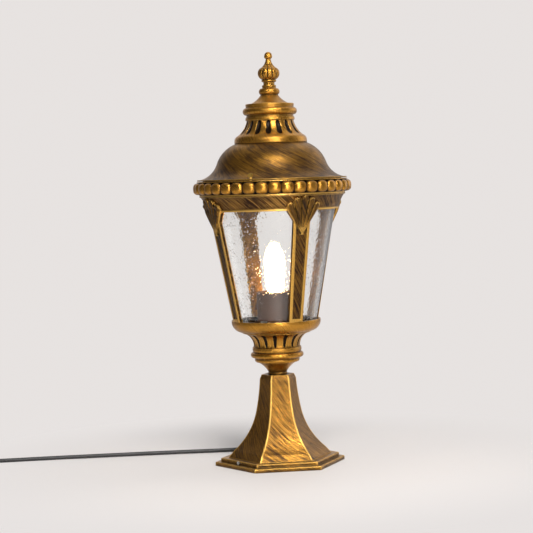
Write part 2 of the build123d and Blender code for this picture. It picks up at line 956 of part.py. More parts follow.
def glass():
    bottom = floor_top + glass_seal
    top = frieze_bottom + glass_above_posts
    return turned(
        (glass_radius(top) - glass_thickness, top),
        (glass_radius(top), top),
        (glass_radius(bottom), bottom),
        (glass_radius(bottom) - glass_thickness, bottom),
    )


def glass_seal_lower():
    outer = glass_radius(floor_top + glass_seal)
    return tube_between(outer, outer - glass_thickness, floor_top, floor_top + glass_seal)


def glass_seal_upper():
    bottom = frieze_bottom + glass_above_posts
    outer = glass_radius(bottom)
    return tube_between(outer, outer - glass_thickness, bottom, bottom + glass_seal)


clip_start = post_turn + 180.0 / clip_count


def clip_leg_radius():
    """Distance from the axis to the outer face of a clip's upright leg."""
    return glass_radius(floor_top + glass_seal) - glass_thickness - sliding_gap


def glass_clip():
    outer = clip_leg_radius()
    side = outline(
        (outer - clip_foot, floor_top),
        (outer, floor_top),
        (outer, floor_top + clip_height),
        (outer - clip_sheet, floor_top + clip_height),
        (outer - clip_sheet, floor_top + clip_sheet),
        (outer - clip_foot, floor_top + clip_sheet),
    )
    clip = Rot(0, 0, -90) * extrude(Plane.XZ * side, clip_width / 2, both=True)
    return clip - clip_screw_hole()


def clip_screw_place():
    return (0, -(clip_leg_radius() - clip_sheet - (clip_foot - clip_sheet) / 2))


def clip_screw_hole():
    bottom = floor_top - clip_screw_reach - 0.3
    return cylinder_at(clip_screw_radius + screw_gap, bottom, floor_top + 5.0, clip_screw_place())


def clip_screw():
    bottom = floor_top + clip_sheet
    shank = cylinder_at(clip_screw_radius, floor_top - clip_screw_reach, bottom, clip_screw_place())
    top = bottom + clip_screw_head_height
    return shank + cylinder_at(clip_screw_head_radius, bottom, top, clip_screw_place())


# Lampholder and lamp


holder_bottom = floor_top + holder_lift
socket_bottom = holder_bottom + holder_base
contact_top = socket_bottom + contact_height


def lampholder():
    body = turned(
        (0, holder_bottom + holder_height),
        (holder_radius - 1.0, holder_bottom + holder_height),
        (holder_radius, holder_bottom + holder_height - 1.0),
        (holder_radius, holder_bottom + 3.0),
        (holder_radius - 3.0, holder_bottom),
        (0, holder_bottom),
    )
    body -= cylinder_at(socket_radius, socket_bottom, holder_bottom + holder_height + overshoot)
    body -= cylinder_at(stem_radius + screw_gap / 2, holder_bottom - overshoot, holder_bottom + thread_grip)
    return body


def holder_shell():
    outer = socket_radius - seat_gap
    top = holder_bottom + holder_height - 2.0
    return tube_between(outer, outer - shell_wall, socket_bottom + 3.0, top)


def holder_contact():
    return cylinder_at(contact_radius, socket_bottom, contact_top)


def holder_sleeve():
    top = floor_top + sleeve_height
    return turned(
        (sleeve_radius - sleeve_wall, top),
        (sleeve_radius - 0.4, top),
        (sleeve_radius, top - 0.4),
        (sleeve_radius, floor_top),
        (holder_radius - 4.0, floor_top),
        (holder_radius - 4.0, floor_top + sleeve_wall),
        (sleeve_radius - sleeve_wall, floor_top + sleeve_wall),
    )


lamp_bottom = contact_top + 0.2
lamp_cap_bottom = lamp_bottom + lamp_tip_height
lamp_cap_top = lamp_cap_bottom + lamp_cap_height
lamp_top = lamp_bottom + lamp_height


def lamp_cap():
    return turned(
        (0, lamp_cap_top),
        (lamp_throat_radius, lamp_cap_top),
        (lamp_cap_radius, lamp_cap_top - 2.0),
        (lamp_cap_radius, lamp_cap_bottom + 2.0),
        (lamp_tip_radius, lamp_cap_bottom),
        (lamp_tip_radius - 1.0, lamp_bottom),
        (0, lamp_bottom),
    )


def lamp_envelope():
    """Thin glass, open at the throat for the glass stem."""
    belly = lamp_cap_top + 0.52 * (lamp_top - lamp_cap_top)
    mouth = lamp_stem_radius + 0.2
    return turned(
        (mouth, lamp_cap_top),
        (lamp_throat_radius, lamp_cap_top),
        (lamp_radius, belly, -0.8),
        (0.4 * lamp_radius, lamp_top - 1.6, -2.6),
        (0.1 * lamp_radius, lamp_top, -0.4),
        (0, lamp_top),
        (0, lamp_top - lamp_glass),
        (0.1 * lamp_radius, lamp_top - lamp_glass),
        (0.4 * lamp_radius - 0.5 * lamp_glass, lamp_top - 1.6 - lamp_glass, 0.3),
        (lamp_radius - lamp_glass, belly, 2.4),
        (lamp_throat_radius - lamp_glass, lamp_cap_top + lamp_glass, 0.8),
        (mouth, lamp_cap_top + lamp_glass),
    )


def lamp_stem():
    top = lamp_cap_top + lamp_stem_height
    shoulder = lamp_cap_top + 0.6 * lamp_stem_height
    return turned(
        (0, top),
        (lamp_stem_radius * 0.4, top),
        (lamp_stem_radius * 0.4, shoulder),
        (lamp_stem_radius, shoulder - 2.0),
        (lamp_stem_radius, lamp_cap_top),
        (0, lamp_cap_top),
    )


def lamp_filaments():
    """Upright filaments on a small ring that sits round the tip of the glass stem."""
    bottom = lamp_cap_top + 0.6 * lamp_stem_height
    place = (0, -filament_circle_radius)
    rods = around(cylinder_at(filament_radius, bottom, bottom + filament_length, place), filament_count)
    hub_radius = filament_circle_radius + 0.4 * filament_radius
    hub = tube_between(hub_radius, lamp_stem_radius * 0.4, bottom, bottom + 1.0)
    return hub + rods


# Roof, cap and finial, which lift off together


def roof_dome():
    haunch = seal_top + haunch_rise
    eave = seal_top + flange_thickness
    lean = math.radians(haunch_lean)
    down = (math.cos(lean), -math.sin(lean))
    up = (-down[0], -down[1])
    outer_haunch = (haunch_radius, haunch)
    inner_haunch = (haunch_radius - roof_sheet, haunch - 0.5)
    inner_eave = (eave_radius - 1.6 * roof_sheet, seal_top)
    inner_top = (roof_top_radius - 0.6, roof_top - roof_sheet)
    outer_low = TangentArc(outer_haunch, (eave_radius, eave), tangent=down)
    outer_high = TangentArc(outer_haunch, (roof_top_radius, roof_top), tangent=up)
    inner_low = TangentArc(inner_haunch, inner_eave, tangent=down)
    inner_high = TangentArc(inner_haunch, inner_top, tangent=up)
    bore = rod_radius + screw_gap
    sheet = make_face([
        outer_low,
        Line((eave_radius, eave), (flange_radius, eave)),
        Line((flange_radius, eave), (flange_radius, seal_top)),
        Line((flange_radius, seal_top), inner_eave),
        inner_low,
        inner_high,
        Line(inner_top, (bore, inner_top[1])),
        Line((bore, inner_top[1]), (bore, roof_top)),
        Line((bore, roof_top), (roof_top_radius, roof_top)),
        outer_high,
    ])
    body = revolve(Plane.XZ * sheet, Axis.Z)
    for hole in around(thumb_hole(), thumb_screw_count, thumb_screw_turn):
        body -= hole
    return body


def thumb_hole():
    """Hole through the roof's flange, with a flat seat for the screw's collar."""
    place = (0, -thumb_screw_circle_radius)
    top = seal_top + 6.0
    seat = cylinder_at(thumb_collar_radius + sliding_gap, seal_top + flange_thickness, top, place)
    return seat + cylinder_at(thumb_screw_radius + screw_gap, rim_top - overshoot, top, place)


def roof_gasket():
    outer = thumb_screw_circle_radius - thumb_screw_radius - 1.0
    return tube_between(outer, outer - roof_seal_width, rim_top, seal_top)


def crown_skirt():
    band_top = roof_top + skirt_band_height
    throat = skirt_top - skirt_top_height
    cove = -1.7
    body = turned(
        (rod_radius + screw_gap, skirt_top),
        (skirt_top_radius, skirt_top),
        (skirt_top_radius, throat + 0.6),
        (skirt_throat_radius, throat),
        (skirt_neck_radius, band_top, cove),
        (skirt_neck_radius + 0.6, band_top - 0.4),
        (roof_top_radius, roof_top + 2.4, 0.9),
        (roof_top_radius - 0.4, roof_top),
        (roof_top_radius - skirt_wall, roof_top),
        (skirt_throat_radius - skirt_wall, throat),
        (rod_radius + screw_gap, throat),
    )
    surface = turned(
        (skirt_throat_radius - skirt_flute_depth, throat),
        (skirt_neck_radius + 2.0, throat),
        (skirt_neck_radius + 2.0, band_top),
        (skirt_neck_radius - skirt_flute_depth, band_top),
        (skirt_throat_radius - skirt_flute_depth, throat, -cove),
    )
    narrow = skirt_flute_width * skirt_throat_radius / skirt_neck_radius
    groove = groove_between(band_top + 0.6, throat - 0.3, skirt_flute_width, narrow)
    return fluted(body, surface, skirt_flutes, groove)


def crown_collar():
    lip = skirt_top + 1.6
    belly_top = lip + 1.3 + 2 * collar_belly_radius
    return turned(
        (rod_radius + screw_gap, collar_top),
        (collar_radius + 0.2, collar_top),
        (collar_radius + 1.0, collar_top - 1.2, 0.3),
        (collar_radius + 0.6, belly_top),
        (collar_radius, belly_top),
        (collar_radius, belly_top - 2 * collar_belly_radius, collar_belly_radius),
        (collar_radius, lip),
        (collar_radius + 0.8, skirt_top),
        (rod_radius + screw_gap, skirt_top),
    )


def finial_base():
    bead_bottom = collar_top + 11.0
    bead_top = bead_bottom + 7.4
    fillet_bottom = finial_bottom - 4.0
    fillet_top = finial_bottom - 1.6
    return turned(
        (rod_radius + screw_gap, finial_bottom),
        (finial_throat_radius, finial_bottom),
        (finial_throat_radius, fillet_top),
        (finial_fillet_radius - 0.6, fillet_top),
        (finial_fillet_radius - 0.6, fillet_bottom, 0.6),
        (finial_bead_radius - 3.4, bead_top),
        (finial_bead_radius - 1.2, bead_top - 0.8, 0.3),
        (finial_bead_radius - 1.2, bead_bottom + 0.6, 1.2),
        (finial_bead_radius - 2.4, bead_bottom, 0.3),
        (finial_base_radius, collar_top, -1.2),
        (rod_radius + screw_gap, collar_top),
    )


def finial():
    ring_bottom = finial_bottom + 2.0
    ring_top = ring_bottom + 3.0
    belly = finial_bottom + 13.2
    neck = finial_top - 2 * ball_radius + 0.6
    drop = math.sqrt(ball_radius ** 2 - (finial_neck_radius - 0.4) ** 2)
    ball_foot = finial_top - ball_radius - drop
    body = turned(
        (0, finial_top),
        (ball_radius, finial_top - ball_radius, 0.2929 * ball_radius),
        (finial_neck_radius - 0.4, ball_foot, 1.2),
        (finial_neck_radius, ball_foot - 0.6),
        (onion_radius - 4.0, belly + 6.2, -1.2),
        (onion_radius, belly, 1.0),
        (finial_ring_radius - 1.0, ring_top, 1.6),
        (finial_ring_radius, (ring_top + ring_bottom) / 2, 0.4),
        (finial_throat_radius, ring_bottom, 0.3),
        (finial_throat_radius, finial_bottom),
        (0, finial_bottom),
    )
    surface = turned(
        (onion_radius + 2.0, belly + 7.5),
        (onion_radius + 2.0, ring_top + 0.6),
        (finial_ring_radius - 0.6, ring_top + 0.6),
        (onion_radius - onion_groove_depth, belly, -1.4),
        (onion_radius - 5.2, belly + 7.5, -0.8),
    )
    groove = groove_between(ring_top, neck, onion_groove_width, onion_groove_width)
    body = fluted(body, surface, onion_lobes, groove)
    bore_top = finial_bottom + rod_reach + 1.0
    return body - cylinder_at(rod_radius + screw_gap / 2, finial_bottom - overshoot, bore_top)


rod_nut_top = roof_top - roof_sheet - rod_washer_thickness
rod_nut_bottom = rod_nut_top - rod_nut_height


def roof_rod():
    return cylinder_at(rod_radius, rod_nut_bottom - rod_tail, finial_bottom + rod_reach)


def roof_washer():
    bore = rod_radius + screw_gap
    return tube_between(rod_washer_radius, bore, rod_nut_top, rod_nut_top + rod_washer_thickness)


def roof_nut():
    return hex_nut(rod_nut_across, rod_radius + screw_gap / 2, rod_nut_bottom, rod_nut_top)


def thumb_screw():
    """Screw with a flat oval head to turn by hand, at the front."""
    place = (0, -thumb_screw_circle_radius)
    seat = seal_top + flange_thickness + sliding_gap
    wing_bottom = seat + thumb_collar_height
    screw = cylinder_at(thumb_screw_radius, rim_top - thumb_screw_reach, wing_bottom, place)
    screw += cylinder_at(thumb_collar_radius, seat, wing_bottom, place)
    wing_face = Pos(0, wing_bottom + thumb_wing_height / 2 - 0.5) * Ellipse(
        thumb_wing_width / 2, thumb_wing_height / 2)
    wing = Pos(0, -thumb_screw_circle_radius, 0) * extrude(
        Plane.XZ * wing_face, thumb_wing_thickness / 2, both=True)
    return screw + wing


# Supply cable, laid on the ground and put away in a coil


relief_tip = foot_across / 2 + relief_overhang
relief_inner_end = foot_bore_radius - relief_flange_length - 2 * sliding_gap
relief_length = relief_tip - relief_inner_end


def strain_relief():
    flange = relief_flange_length
    length = relief_length
    profile = outline(
        (0, 0),
        (relief_flange_radius, 0),
        (relief_flange_radius, flange - sliding_gap),
        (relief_radius, flange - sliding_gap),
        (relief_radius, 0.7 * length),
        (relief_tip_radius, length),
        (0, length),
    )
    body = Pos(0, relief_inner_end, relief_axis_height) * Rot(-90, 0, 0) * revolve(Plane.XZ * profile, Axis.Z)
    under = Pos(0, (relief_inner_end + relief_tip) / 2, -relief_flange_radius) * Box(
        4 * relief_flange_radius, 2 * relief_length, 2 * relief_flange_radius + 0.4)
    return body - under


coil_start = (coil_centre[0] + cable_diameter, coil_centre[1] + coil_outer_radius)
cable_rest = cable_radius + 0.05

# Points of the cable's route over the ground, chosen by hand
cable_route = [
    (0.0, relief_tip, relief_axis_height),
    (0.0, 80.5, 3.9),
    (-7.9, 93.2, 3.5),
    (-21.3, 99.8, 3.0),
    (-37.3, 98.1, 2.7),
    (-61.3, 98.7, cable_rest),
    (-99.8, 101.2, cable_rest),
    (-154.9, 103.8, cable_rest),
    (-215.1, 105.1, cable_rest),
    (-277.2, 106.3, cable_rest),
    (-337.2, coil_start[1], cable_rest),
    (coil_start[0], coil_start[1], cable_rest),
]


def supply_cable():
    radii = corner_radii(cable_route)
    print("cable corner radii", [round(r, 1) for r in radii])
    tube = round_wire(cable_route, cable_radius, radii)
    path = FilletPolyline(*cable_route, radius=radii)
    print("cable volume over section times length", tube.volume / (math.pi * cable_radius ** 2 * path.length))
    print("cable length", round(path.length, 1))
    return tube


def coil_spot(turn, radius, height):
    """Point of the coil and the way the cable runs there; turn is in degrees round its centre."""
    a = math.radians(turn)
    point = Vector(coil_centre[0] + radius * math.cos(a), coil_centre[1] + radius * math.sin(a), height)
    return point, Vector(-math.sin(a), math.cos(a), 0)


def coil_spots():
    """Spots that the coil's arcs join: inwards on the ground, half a turn up, outwards on top."""
    turn, radius, height = 90.0, coil_outer_radius, cable_rest
    spots = [coil_spot(turn, radius, height)]
    for k in range(coil_half_turns_in):
        turn += 180
        radius -= coil_pitch / 2 + (coil_reversal if k == coil_half_turns_in - 1 else 0)
        spots.append(coil_spot(turn, radius, height))
    turn += 180
    height += coil_layer_step
    spots.append(coil_spot(turn, radius, height))
    for k in range(coil_quarter_turns_out):
        turn += 90
        radius += coil_pitch / 4 + (coil_reversal / 2 if k < 2 else 0)
        spots.append(coil_spot(turn, radius, height))
    return spots


def biarc(start, start_way, end, end_way):
    """Two arcs that leave start and reach end in the given ways."""
    across = end - start
    ways = start_way + end_way
    spread = 2 * (1 - start_way.dot(end_way))
    along = across.dot(ways)
    reach = (-along + math.sqrt(along ** 2 + spread * across.dot(across))) / spread
    middle = (start + end + (start_way - end_way) * reach) / 2
    middle_way = (end - end_way * reach - start - start_way * reach).normalized()
    return [TangentArc(start, middle, tangent=start_way), TangentArc(middle, end, tangent=middle_way)]


def coil_path():
    spots = coil_spots()
    first, first_way = spots[0]
    last, last_way = spots[-1]
    edges = [Line(first - first_way * cable_diameter, first)]
    for (a, a_way), (b, b_way) in zip(spots, spots[1:]):
        edges += biarc(a, a_way, b, b_way)
    edges.append(Line(last, last + last_way * cable_diameter))
    return Wire(edges)


def coil_self_gap(path):
    """Least gap between the cable's surface and itself, measured on points along its path."""
    count = 900
    step = path.length / count
    points = [path @ (k / count) for k in range(count + 1)]
    skip = int(math.pi * cable_diameter / step) + 1
    least = path.length
    for k, here in enumerate(points):
        for there in points[k + skip:]:
            least = min(least, (there - here).length)
    return least - cable_diameter


def cable_coil():
    path = coil_path()
    section = Plane(path @ 0, z_dir=path % 0) * Circle(cable_radius)
    tube = sweep(section, path)
    print("coil length", round(path.length, 1), "least gap to itself", round(coil_self_gap(path), 3))
    print("coil volume over section times length", tube.volume / (math.pi * cable_radius ** 2 * path.length))
    return tube


coil_end, coil_end_way = coil_spots()[-1]
plug_axis_height = plug_thickness / 2
tail_start = coil_end + coil_end_way * cable_diameter
plug_rear_y = tail_start.Y - tail_reach

# Points of the short stretch from the coil to the plug, chosen by hand
tail_route = [
    (tail_start.X, tail_start.Y, tail_start.Z),
    (tail_start.X, tail_start.Y - 9.0, tail_start.Z),
    (tail_start.X - 1.0, tail_start.Y - 18.0, plug_axis_height),
    (tail_start.X - 1.0, plug_rear_y, plug_axis_height),
]


def cable_tail():
    return round_wire(tail_route, cable_radius)


def plug_body():
    half = plug_width / 2
    throat = plug_throat_width / 2
    flat = outline(
        (-throat, 0),
        (throat, 0),
        (throat + 1.5, -0.28 * plug_length),
        (half, -0.6 * plug_length),
        (half, -plug_length),
        (-half, -plug_length),
        (-half, -0.6 * plug_length),
        (-throat - 1.5, -0.28 * plug_length),
    )
    body = extrude(flat, plug_thickness)
    body = chamfer(body.faces().sort_by(Axis.Z)[0].edges() + body.faces().sort_by(Axis.Z)[-1].edges(), 2.0)
    boot = Pos(0, 0, plug_axis_height) * Rot(-90, 0, 0) * Cone(
        plug_boot_radius, cable_radius + 0.7, plug_boot_length, align=(Align.CENTER, Align.CENTER, Align.MIN))
    return Pos(tail_route[-1][0], plug_rear_y - plug_boot_length, 0) * (body + boot)


def plug_pins():
    face = plug_rear_y - plug_boot_length - plug_length
    pins = []
    for side in (-1, 1):
        place = Pos(tail_route[-1][0] + side * pin_spacing / 2, face, plug_axis_height) * Rot(90, 0, 0)
        pin = Cylinder(pin_radius, pin_length, align=(Align.CENTER, Align.CENTER, Align.MIN))
        pins.append(place * chamfer(pin.faces().sort_by(Axis.Z)[-1].edges(), 0.8))
    return Compound(children=pins)


def build():
    parts["foot"] = foot()
    parts["pedestal"] = pedestal()
    parts["foot_screws"] = foot_screws()
    parts["mount_plate"] = mount_plate()
    parts["side_screws"] = Compound(children=around(side_screw(), 2, side_screw_start))
    parts["terminal_block"] = terminal_block()
    parts["terminal_screws"] = terminal_screws()
    parts["live_wire"] = lamp_wire(1)
    parts["neutral_wire"] = lamp_wire(-1)
    parts["earth_wire"] = earth_wire()
    parts["earth_tag"] = earth_tag()
    parts["inner_cable"] = inner_cable()
    parts["stem_tube"] = stem_tube()
    parts["stem_washer_lower"] = stem_washer(stem_nut_top)
    parts["stem_nut_lower"] = stem_nut(stem_nut_bottom)
    parts["stem_washer_upper"] = stem_washer(floor_top)
    parts["stem_nut_upper"] = stem_nut(floor_top + stem_washer_thickness)
    parts["neck"] = neck()
    parts["knop"] = knop()
    parts["cup"] = cup()
    parts["gallery"] = gallery()
    first_post = post()
    for number, one in enumerate(around(first_post, post_count, post_turn), 1):
        parts[f"cage_post_{number}"] = one
    parts["frieze"] = frieze()
    parts["frieze_screws"] = Compound(children=around(frieze_screw(), post_count, post_turn))
    parts["bead_rim"] = bead_rim()
    parts["rim_screws"] = Compound(children=around(rim_screw_shape(0.0), rim_screw_count, rim_screw_start))
    parts["glass"] = glass()
    parts["glass_seal_lower"] = glass_seal_lower()
    parts["glass_seal_upper"] = glass_seal_upper()
    parts["glass_clips"] = Compound(children=around(glass_clip(), clip_count, clip_start))
    parts["clip_screws"] = Compound(children=around(clip_screw(), clip_count, clip_start))
    parts["lampholder"] = lampholder()
    parts["holder_shell"] = holder_shell()
    parts["holder_contact"] = holder_contact()
    parts["holder_sleeve"] = holder_sleeve()
    parts["lamp_cap"] = lamp_cap()
    parts["lamp_envelope"] = lamp_envelope()
    parts["lamp_stem"] = lamp_stem()
    parts["lamp_filaments"] = lamp_filaments()
    parts["roof_dome"] = roof_dome()
    parts["roof_gasket"] = roof_gasket()
    parts["crown_skirt"] = crown_skirt()
    parts["crown_collar"] = crown_collar()
    parts["finial_base"] = finial_base()
    parts["finial"] = finial()
    parts["roof_rod"] = roof_rod()
    parts["roof_washer"] = roof_washer()
    parts["roof_nut"] = roof_nut()
    for number, one in enumerate(around(thumb_screw(), thumb_screw_count, thumb_screw_turn), 1):
        parts[f"thumb_screw_{number}"] = one
    parts["strain_relief"] = strain_relief()
    parts["supply_cable"] = supply_cable()
    parts["cable_coil"] = cable_coil()
    parts["cable_tail"] = cable_tail()
    parts["plug_body"] = plug_body()
    parts["plug_pins"] = plug_pins()


build()
os.makedirs("parts", exist_ok=True)
for name, shape in parts.items():
    export_step(shape, f"parts/{name}.step")
print(len(parts), "parts, height", round(finial_top, 1))
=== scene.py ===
import math

import bmesh
import bpy
from mathutils import Matrix, Vector


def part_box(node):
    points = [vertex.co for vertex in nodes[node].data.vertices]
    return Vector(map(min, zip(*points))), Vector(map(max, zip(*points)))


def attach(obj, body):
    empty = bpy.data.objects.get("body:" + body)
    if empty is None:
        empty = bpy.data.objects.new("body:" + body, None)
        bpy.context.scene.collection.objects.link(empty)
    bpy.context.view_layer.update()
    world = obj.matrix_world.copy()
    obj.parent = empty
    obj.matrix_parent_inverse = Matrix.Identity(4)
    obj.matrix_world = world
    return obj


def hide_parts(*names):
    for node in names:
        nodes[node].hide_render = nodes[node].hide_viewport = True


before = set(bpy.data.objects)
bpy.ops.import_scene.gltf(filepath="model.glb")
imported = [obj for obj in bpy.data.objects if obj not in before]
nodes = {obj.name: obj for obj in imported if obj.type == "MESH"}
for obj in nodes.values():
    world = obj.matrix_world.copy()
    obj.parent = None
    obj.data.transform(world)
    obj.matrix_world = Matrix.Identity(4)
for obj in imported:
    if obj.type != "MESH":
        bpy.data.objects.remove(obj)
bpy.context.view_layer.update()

MM = 0.001

# Camera, from the photograph's framing
PHOTO_WIDTH = 533
FOCAL_PIXELS = 1700
CAMERA_DISTANCE = 2.065
CAMERA_HEIGHT = 0.352
CAMERA_AZIMUTH = -7.4       # degrees from the front of the foot
CAMERA_PITCH = -3.1
CAMERA_ROLL = 1.75
AXIS_OFFSET_PIXELS = 8.0

# Surroundings, in linear light
BACKDROP = (0.80, 0.765, 0.75)
FLOOR = (0.76, 0.73, 0.72)
BACKDROP_SIDE = (0.5, 0.86, 0.0)
FLOOR_RADIUS = 6.0
FLOOR_FADE = (0.13, 0.45)

# Supply cable
CABLE_DIAMETER = 5.0
CABLE_REST = 2.55
RELIEF_TIP = 69.5
COIL_CENTRE = (-392.0, 65.2)
COIL_RADIUS = 39.8
COIL_PITCH = 5.6
COIL_LAYER_STEP = 5.5
COIL_REVERSAL = 1.8
COIL_HALF_TURNS_IN = 7
COIL_QUARTER_TURNS_OUT = 13
COIL_POINTS_PER_TURN = 16
PLUG_AXIS_HEIGHT = 6.9
TIE_TURN = 315.0
TIE_WIDTH = 6.0
TIE_CORNER = 3.0
TIE_SHOULDER = 0.6
TIE_CROWN = 0.7
TIE_BEVEL = 0.3
GROUND_GAP = 0.05

# Route of the cable over the ground, in millimetres
CABLE_ROUTE = [
    (0.0, RELIEF_TIP, 3.9),
    (0.0, 80.5, 3.9),
    (-7.9, 93.2, 3.5),
    (-21.3, 99.8, 3.0),
    (-37.3, 98.1, 2.7),
    (-61.3, 98.7, CABLE_REST),
    (-99.8, 101.2, CABLE_REST),
    (-154.9, 103.8, CABLE_REST),
    (-215.1, 105.1, CABLE_REST),
    (-277.2, 106.3, CABLE_REST),
    (-337.2, COIL_CENTRE[1] + COIL_RADIUS, CABLE_REST),
    (COIL_CENTRE[0] + CABLE_DIAMETER, COIL_CENTRE[1] + COIL_RADIUS, CABLE_REST),
]


# Camera


def make_camera():
    azimuth = math.radians(CAMERA_AZIMUTH)
    pitch = math.radians(CAMERA_PITCH)
    roll = math.radians(CAMERA_ROLL)
    place = Vector((math.sin(azimuth), -math.cos(azimuth), 0)) * CAMERA_DISTANCE
    place.z = CAMERA_HEIGHT
    level = Vector((-math.sin(azimuth), math.cos(azimuth), 0))
    forward = level * math.cos(pitch) + Vector((0, 0, 1)) * math.sin(pitch)
    right = forward.cross(Vector((0, 0, 1))).normalized()
    up = right.cross(forward)
    tilted_right = right * math.cos(roll) - up * math.sin(roll)
    tilted_up = up * math.cos(roll) + right * math.sin(roll)
    axes = Matrix((tilted_right, tilted_up, -forward)).transposed().to_4x4()
    data = bpy.data.cameras.new("camera")
    data.sensor_width = 36.0
    data.lens = FOCAL_PIXELS / PHOTO_WIDTH * data.sensor_width
    data.shift_x = -AXIS_OFFSET_PIXELS / PHOTO_WIDTH
    camera = bpy.data.objects.new("camera", data)
    camera.matrix_world = Matrix.Translation(place) @ axes
    bpy.context.collection.objects.link(camera)
    bpy.context.scene.camera = camera


# Cable


def coil_law():
    """Corners of the coil's radius and height over its angle in degrees."""
    turn, radius, height = 90.0, COIL_RADIUS, CABLE_REST
    corners = [(turn, radius, height)]
    for k in range(COIL_HALF_TURNS_IN):
        turn += 180
        radius -= COIL_PITCH / 2 + (COIL_REVERSAL if k == COIL_HALF_TURNS_IN - 1 else 0)
        corners.append((turn, radius, height))
    turn += 180
    height += COIL_LAYER_STEP
    corners.append((turn, radius, height))
    for k in range(COIL_QUARTER_TURNS_OUT):
        turn += 90
        radius += COIL_PITCH / 4 + (COIL_REVERSAL / 2 if k < 2 else 0)
        corners.append((turn, radius, height))
    return corners


def coil_points():
    """Points of the coil, in millimetres, a steady number to each turn."""
    corners = coil_law()
    step = 360.0 / COIL_POINTS_PER_TURN
    count = round((corners[-1][0] - corners[0][0]) / step)
    points = []
    for k in range(1, count + 1):
        turn = corners[0][0] + k * step
        for (t0, r0, z0), (t1, r1, z1) in zip(corners, corners[1:]):
            if turn <= t1 + 1e-6:
                share = (turn - t0) / (t1 - t0)
                rise = share * share * (3 - 2 * share)
                radius = r0 + (r1 - r0) * share
                height = z0 + (z1 - z0) * rise
                break
        a = math.radians(turn)
        x = COIL_CENTRE[0] + radius * math.cos(a)
        y = COIL_CENTRE[1] + radius * math.sin(a)
        points.append((x, y, height))
    return points


def tail_points(coil):
    """From the coil's end down to the plug, in millimetres."""
    x, y, z = coil[-1]
    start_y = y - CABLE_DIAMETER
    plug_y = start_y - 27.0
    return [
        (x, start_y, z),
        (x, start_y - 9.0, z),
        (x - 1.0, start_y - 18.0, PLUG_AXIS_HEIGHT),
        (x - 1.0, plug_y, PLUG_AXIS_HEIGHT),
    ]


def nurbs_tube(name, points, diameter):
    """Round cord along a smooth line; the points are in millimetres."""
    curve = bpy.data.curves.new(name, "CURVE")
    curve.dimensions = "3D"
    spline = curve.splines.new("NURBS")
    spline.points.add(len(points) - 1)
    for point, place in zip(spline.points, points):
        point.co = (*[c * MM for c in place], 1)
    spline.order_u = 3
    spline.use_endpoint_u = True
    spline.resolution_u = 6
    curve.bevel_depth = diameter / 2 * MM
    curve.bevel_resolution = 5
    curve.use_fill_caps = True
    piece = bpy.data.objects.new(name, curve)
    bpy.context.collection.objects.link(piece)
    return piece


def make_tie(material):
    """Flat strap round the coil's turns, pulled tight."""
    inner = COIL_RADIUS - COIL_HALF_TURNS_IN * COIL_PITCH / 2 - COIL_REVERSAL - CABLE_DIAMETER / 2 - 0.6
    outer = COIL_RADIUS + CABLE_DIAMETER / 2 + 1.0
    top = CABLE_REST + COIL_LAYER_STEP + CABLE_DIAMETER / 2 + 0.5
    corners = [
        (outer - TIE_CORNER, TIE_CROWN, -90),
        (outer - TIE_CORNER, top - TIE_CORNER, 0),
        (inner + TIE_CORNER, top - TIE_CORNER, 90),
        (inner + TIE_CORNER, TIE_CROWN, 180),
    ]
    loop = []
    for middle, height, first in corners:
        for k in range(7):
            a = math.radians(first + 15 * k)
            rise = (TIE_CORNER if height > TIE_CORNER else TIE_SHOULDER) * math.sin(a)
            loop.append((middle + TIE_CORNER * math.cos(a), height + rise))
    turn = math.radians(TIE_TURN)
    along = Vector((math.cos(turn), math.sin(turn), 0))
    across = Vector((-math.sin(turn), math.cos(turn), 0))
    centre = Vector((*COIL_CENTRE, 0))
    middle = ((inner + outer) / 2, top / 2)
    section = [
        (-TIE_WIDTH / 2, 0),
        (-TIE_WIDTH / 2 + TIE_BEVEL, TIE_SHOULDER),
        (0, TIE_CROWN),
        (TIE_WIDTH / 2 - TIE_BEVEL, TIE_SHOULDER),
        (TIE_WIDTH / 2, 0),
    ]
    vertices = []
    for side, thick in section:
        for reach, height in loop:
            out = Vector((reach - middle[0], height - middle[1])).normalized() * thick
            spot = centre + along * (reach + out.x) + across * side
            spot.z = max(GROUND_GAP, height + out.y)
            vertices.append(tuple(spot * MM))
    count = len(loop)
    last_row = (len(section) - 1) * count
    faces = []
    for row in range(0, last_row, count):
        for k in range(count):
            a = row + k
            b = row + (k + 1) % count
            faces.append((a, b, b + count, a + count))
    for k in range(count):
        faces.append((last_row + k, last_row + (k + 1) % count, (k + 1) % count, k))
    piece = new_mesh("coil_tie", vertices, faces)
    weld(piece)
    piece.data.materials.append(material)
    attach(piece, "lantern")
    return piece


def make_cable(material):
    coil = coil_points()
    tie = make_tie(material)
    cable = nurbs_tube("flex", CABLE_ROUTE + coil + tail_points(coil), CABLE_DIAMETER)
    cable.data.materials.append(material)
    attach(cable, "lantern")
    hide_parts("supply_cable", "cable_coil", "cable_tail")


# Mesh helpers

STRAIGHT_STEP = 4
TURNED_SHARP_ANGLE = math.radians(38)
LEAF_SHARP_ANGLE = math.radians(50)


def new_mesh(name, vertices, faces, smooth=True):
    mesh = bpy.data.meshes.new(name)
    mesh.from_pydata(vertices, [], faces)
    mesh.update()
    if smooth:
        mesh.shade_smooth()
    piece = bpy.data.objects.new(name, mesh)
    bpy.context.collection.objects.link(piece)
    return piece


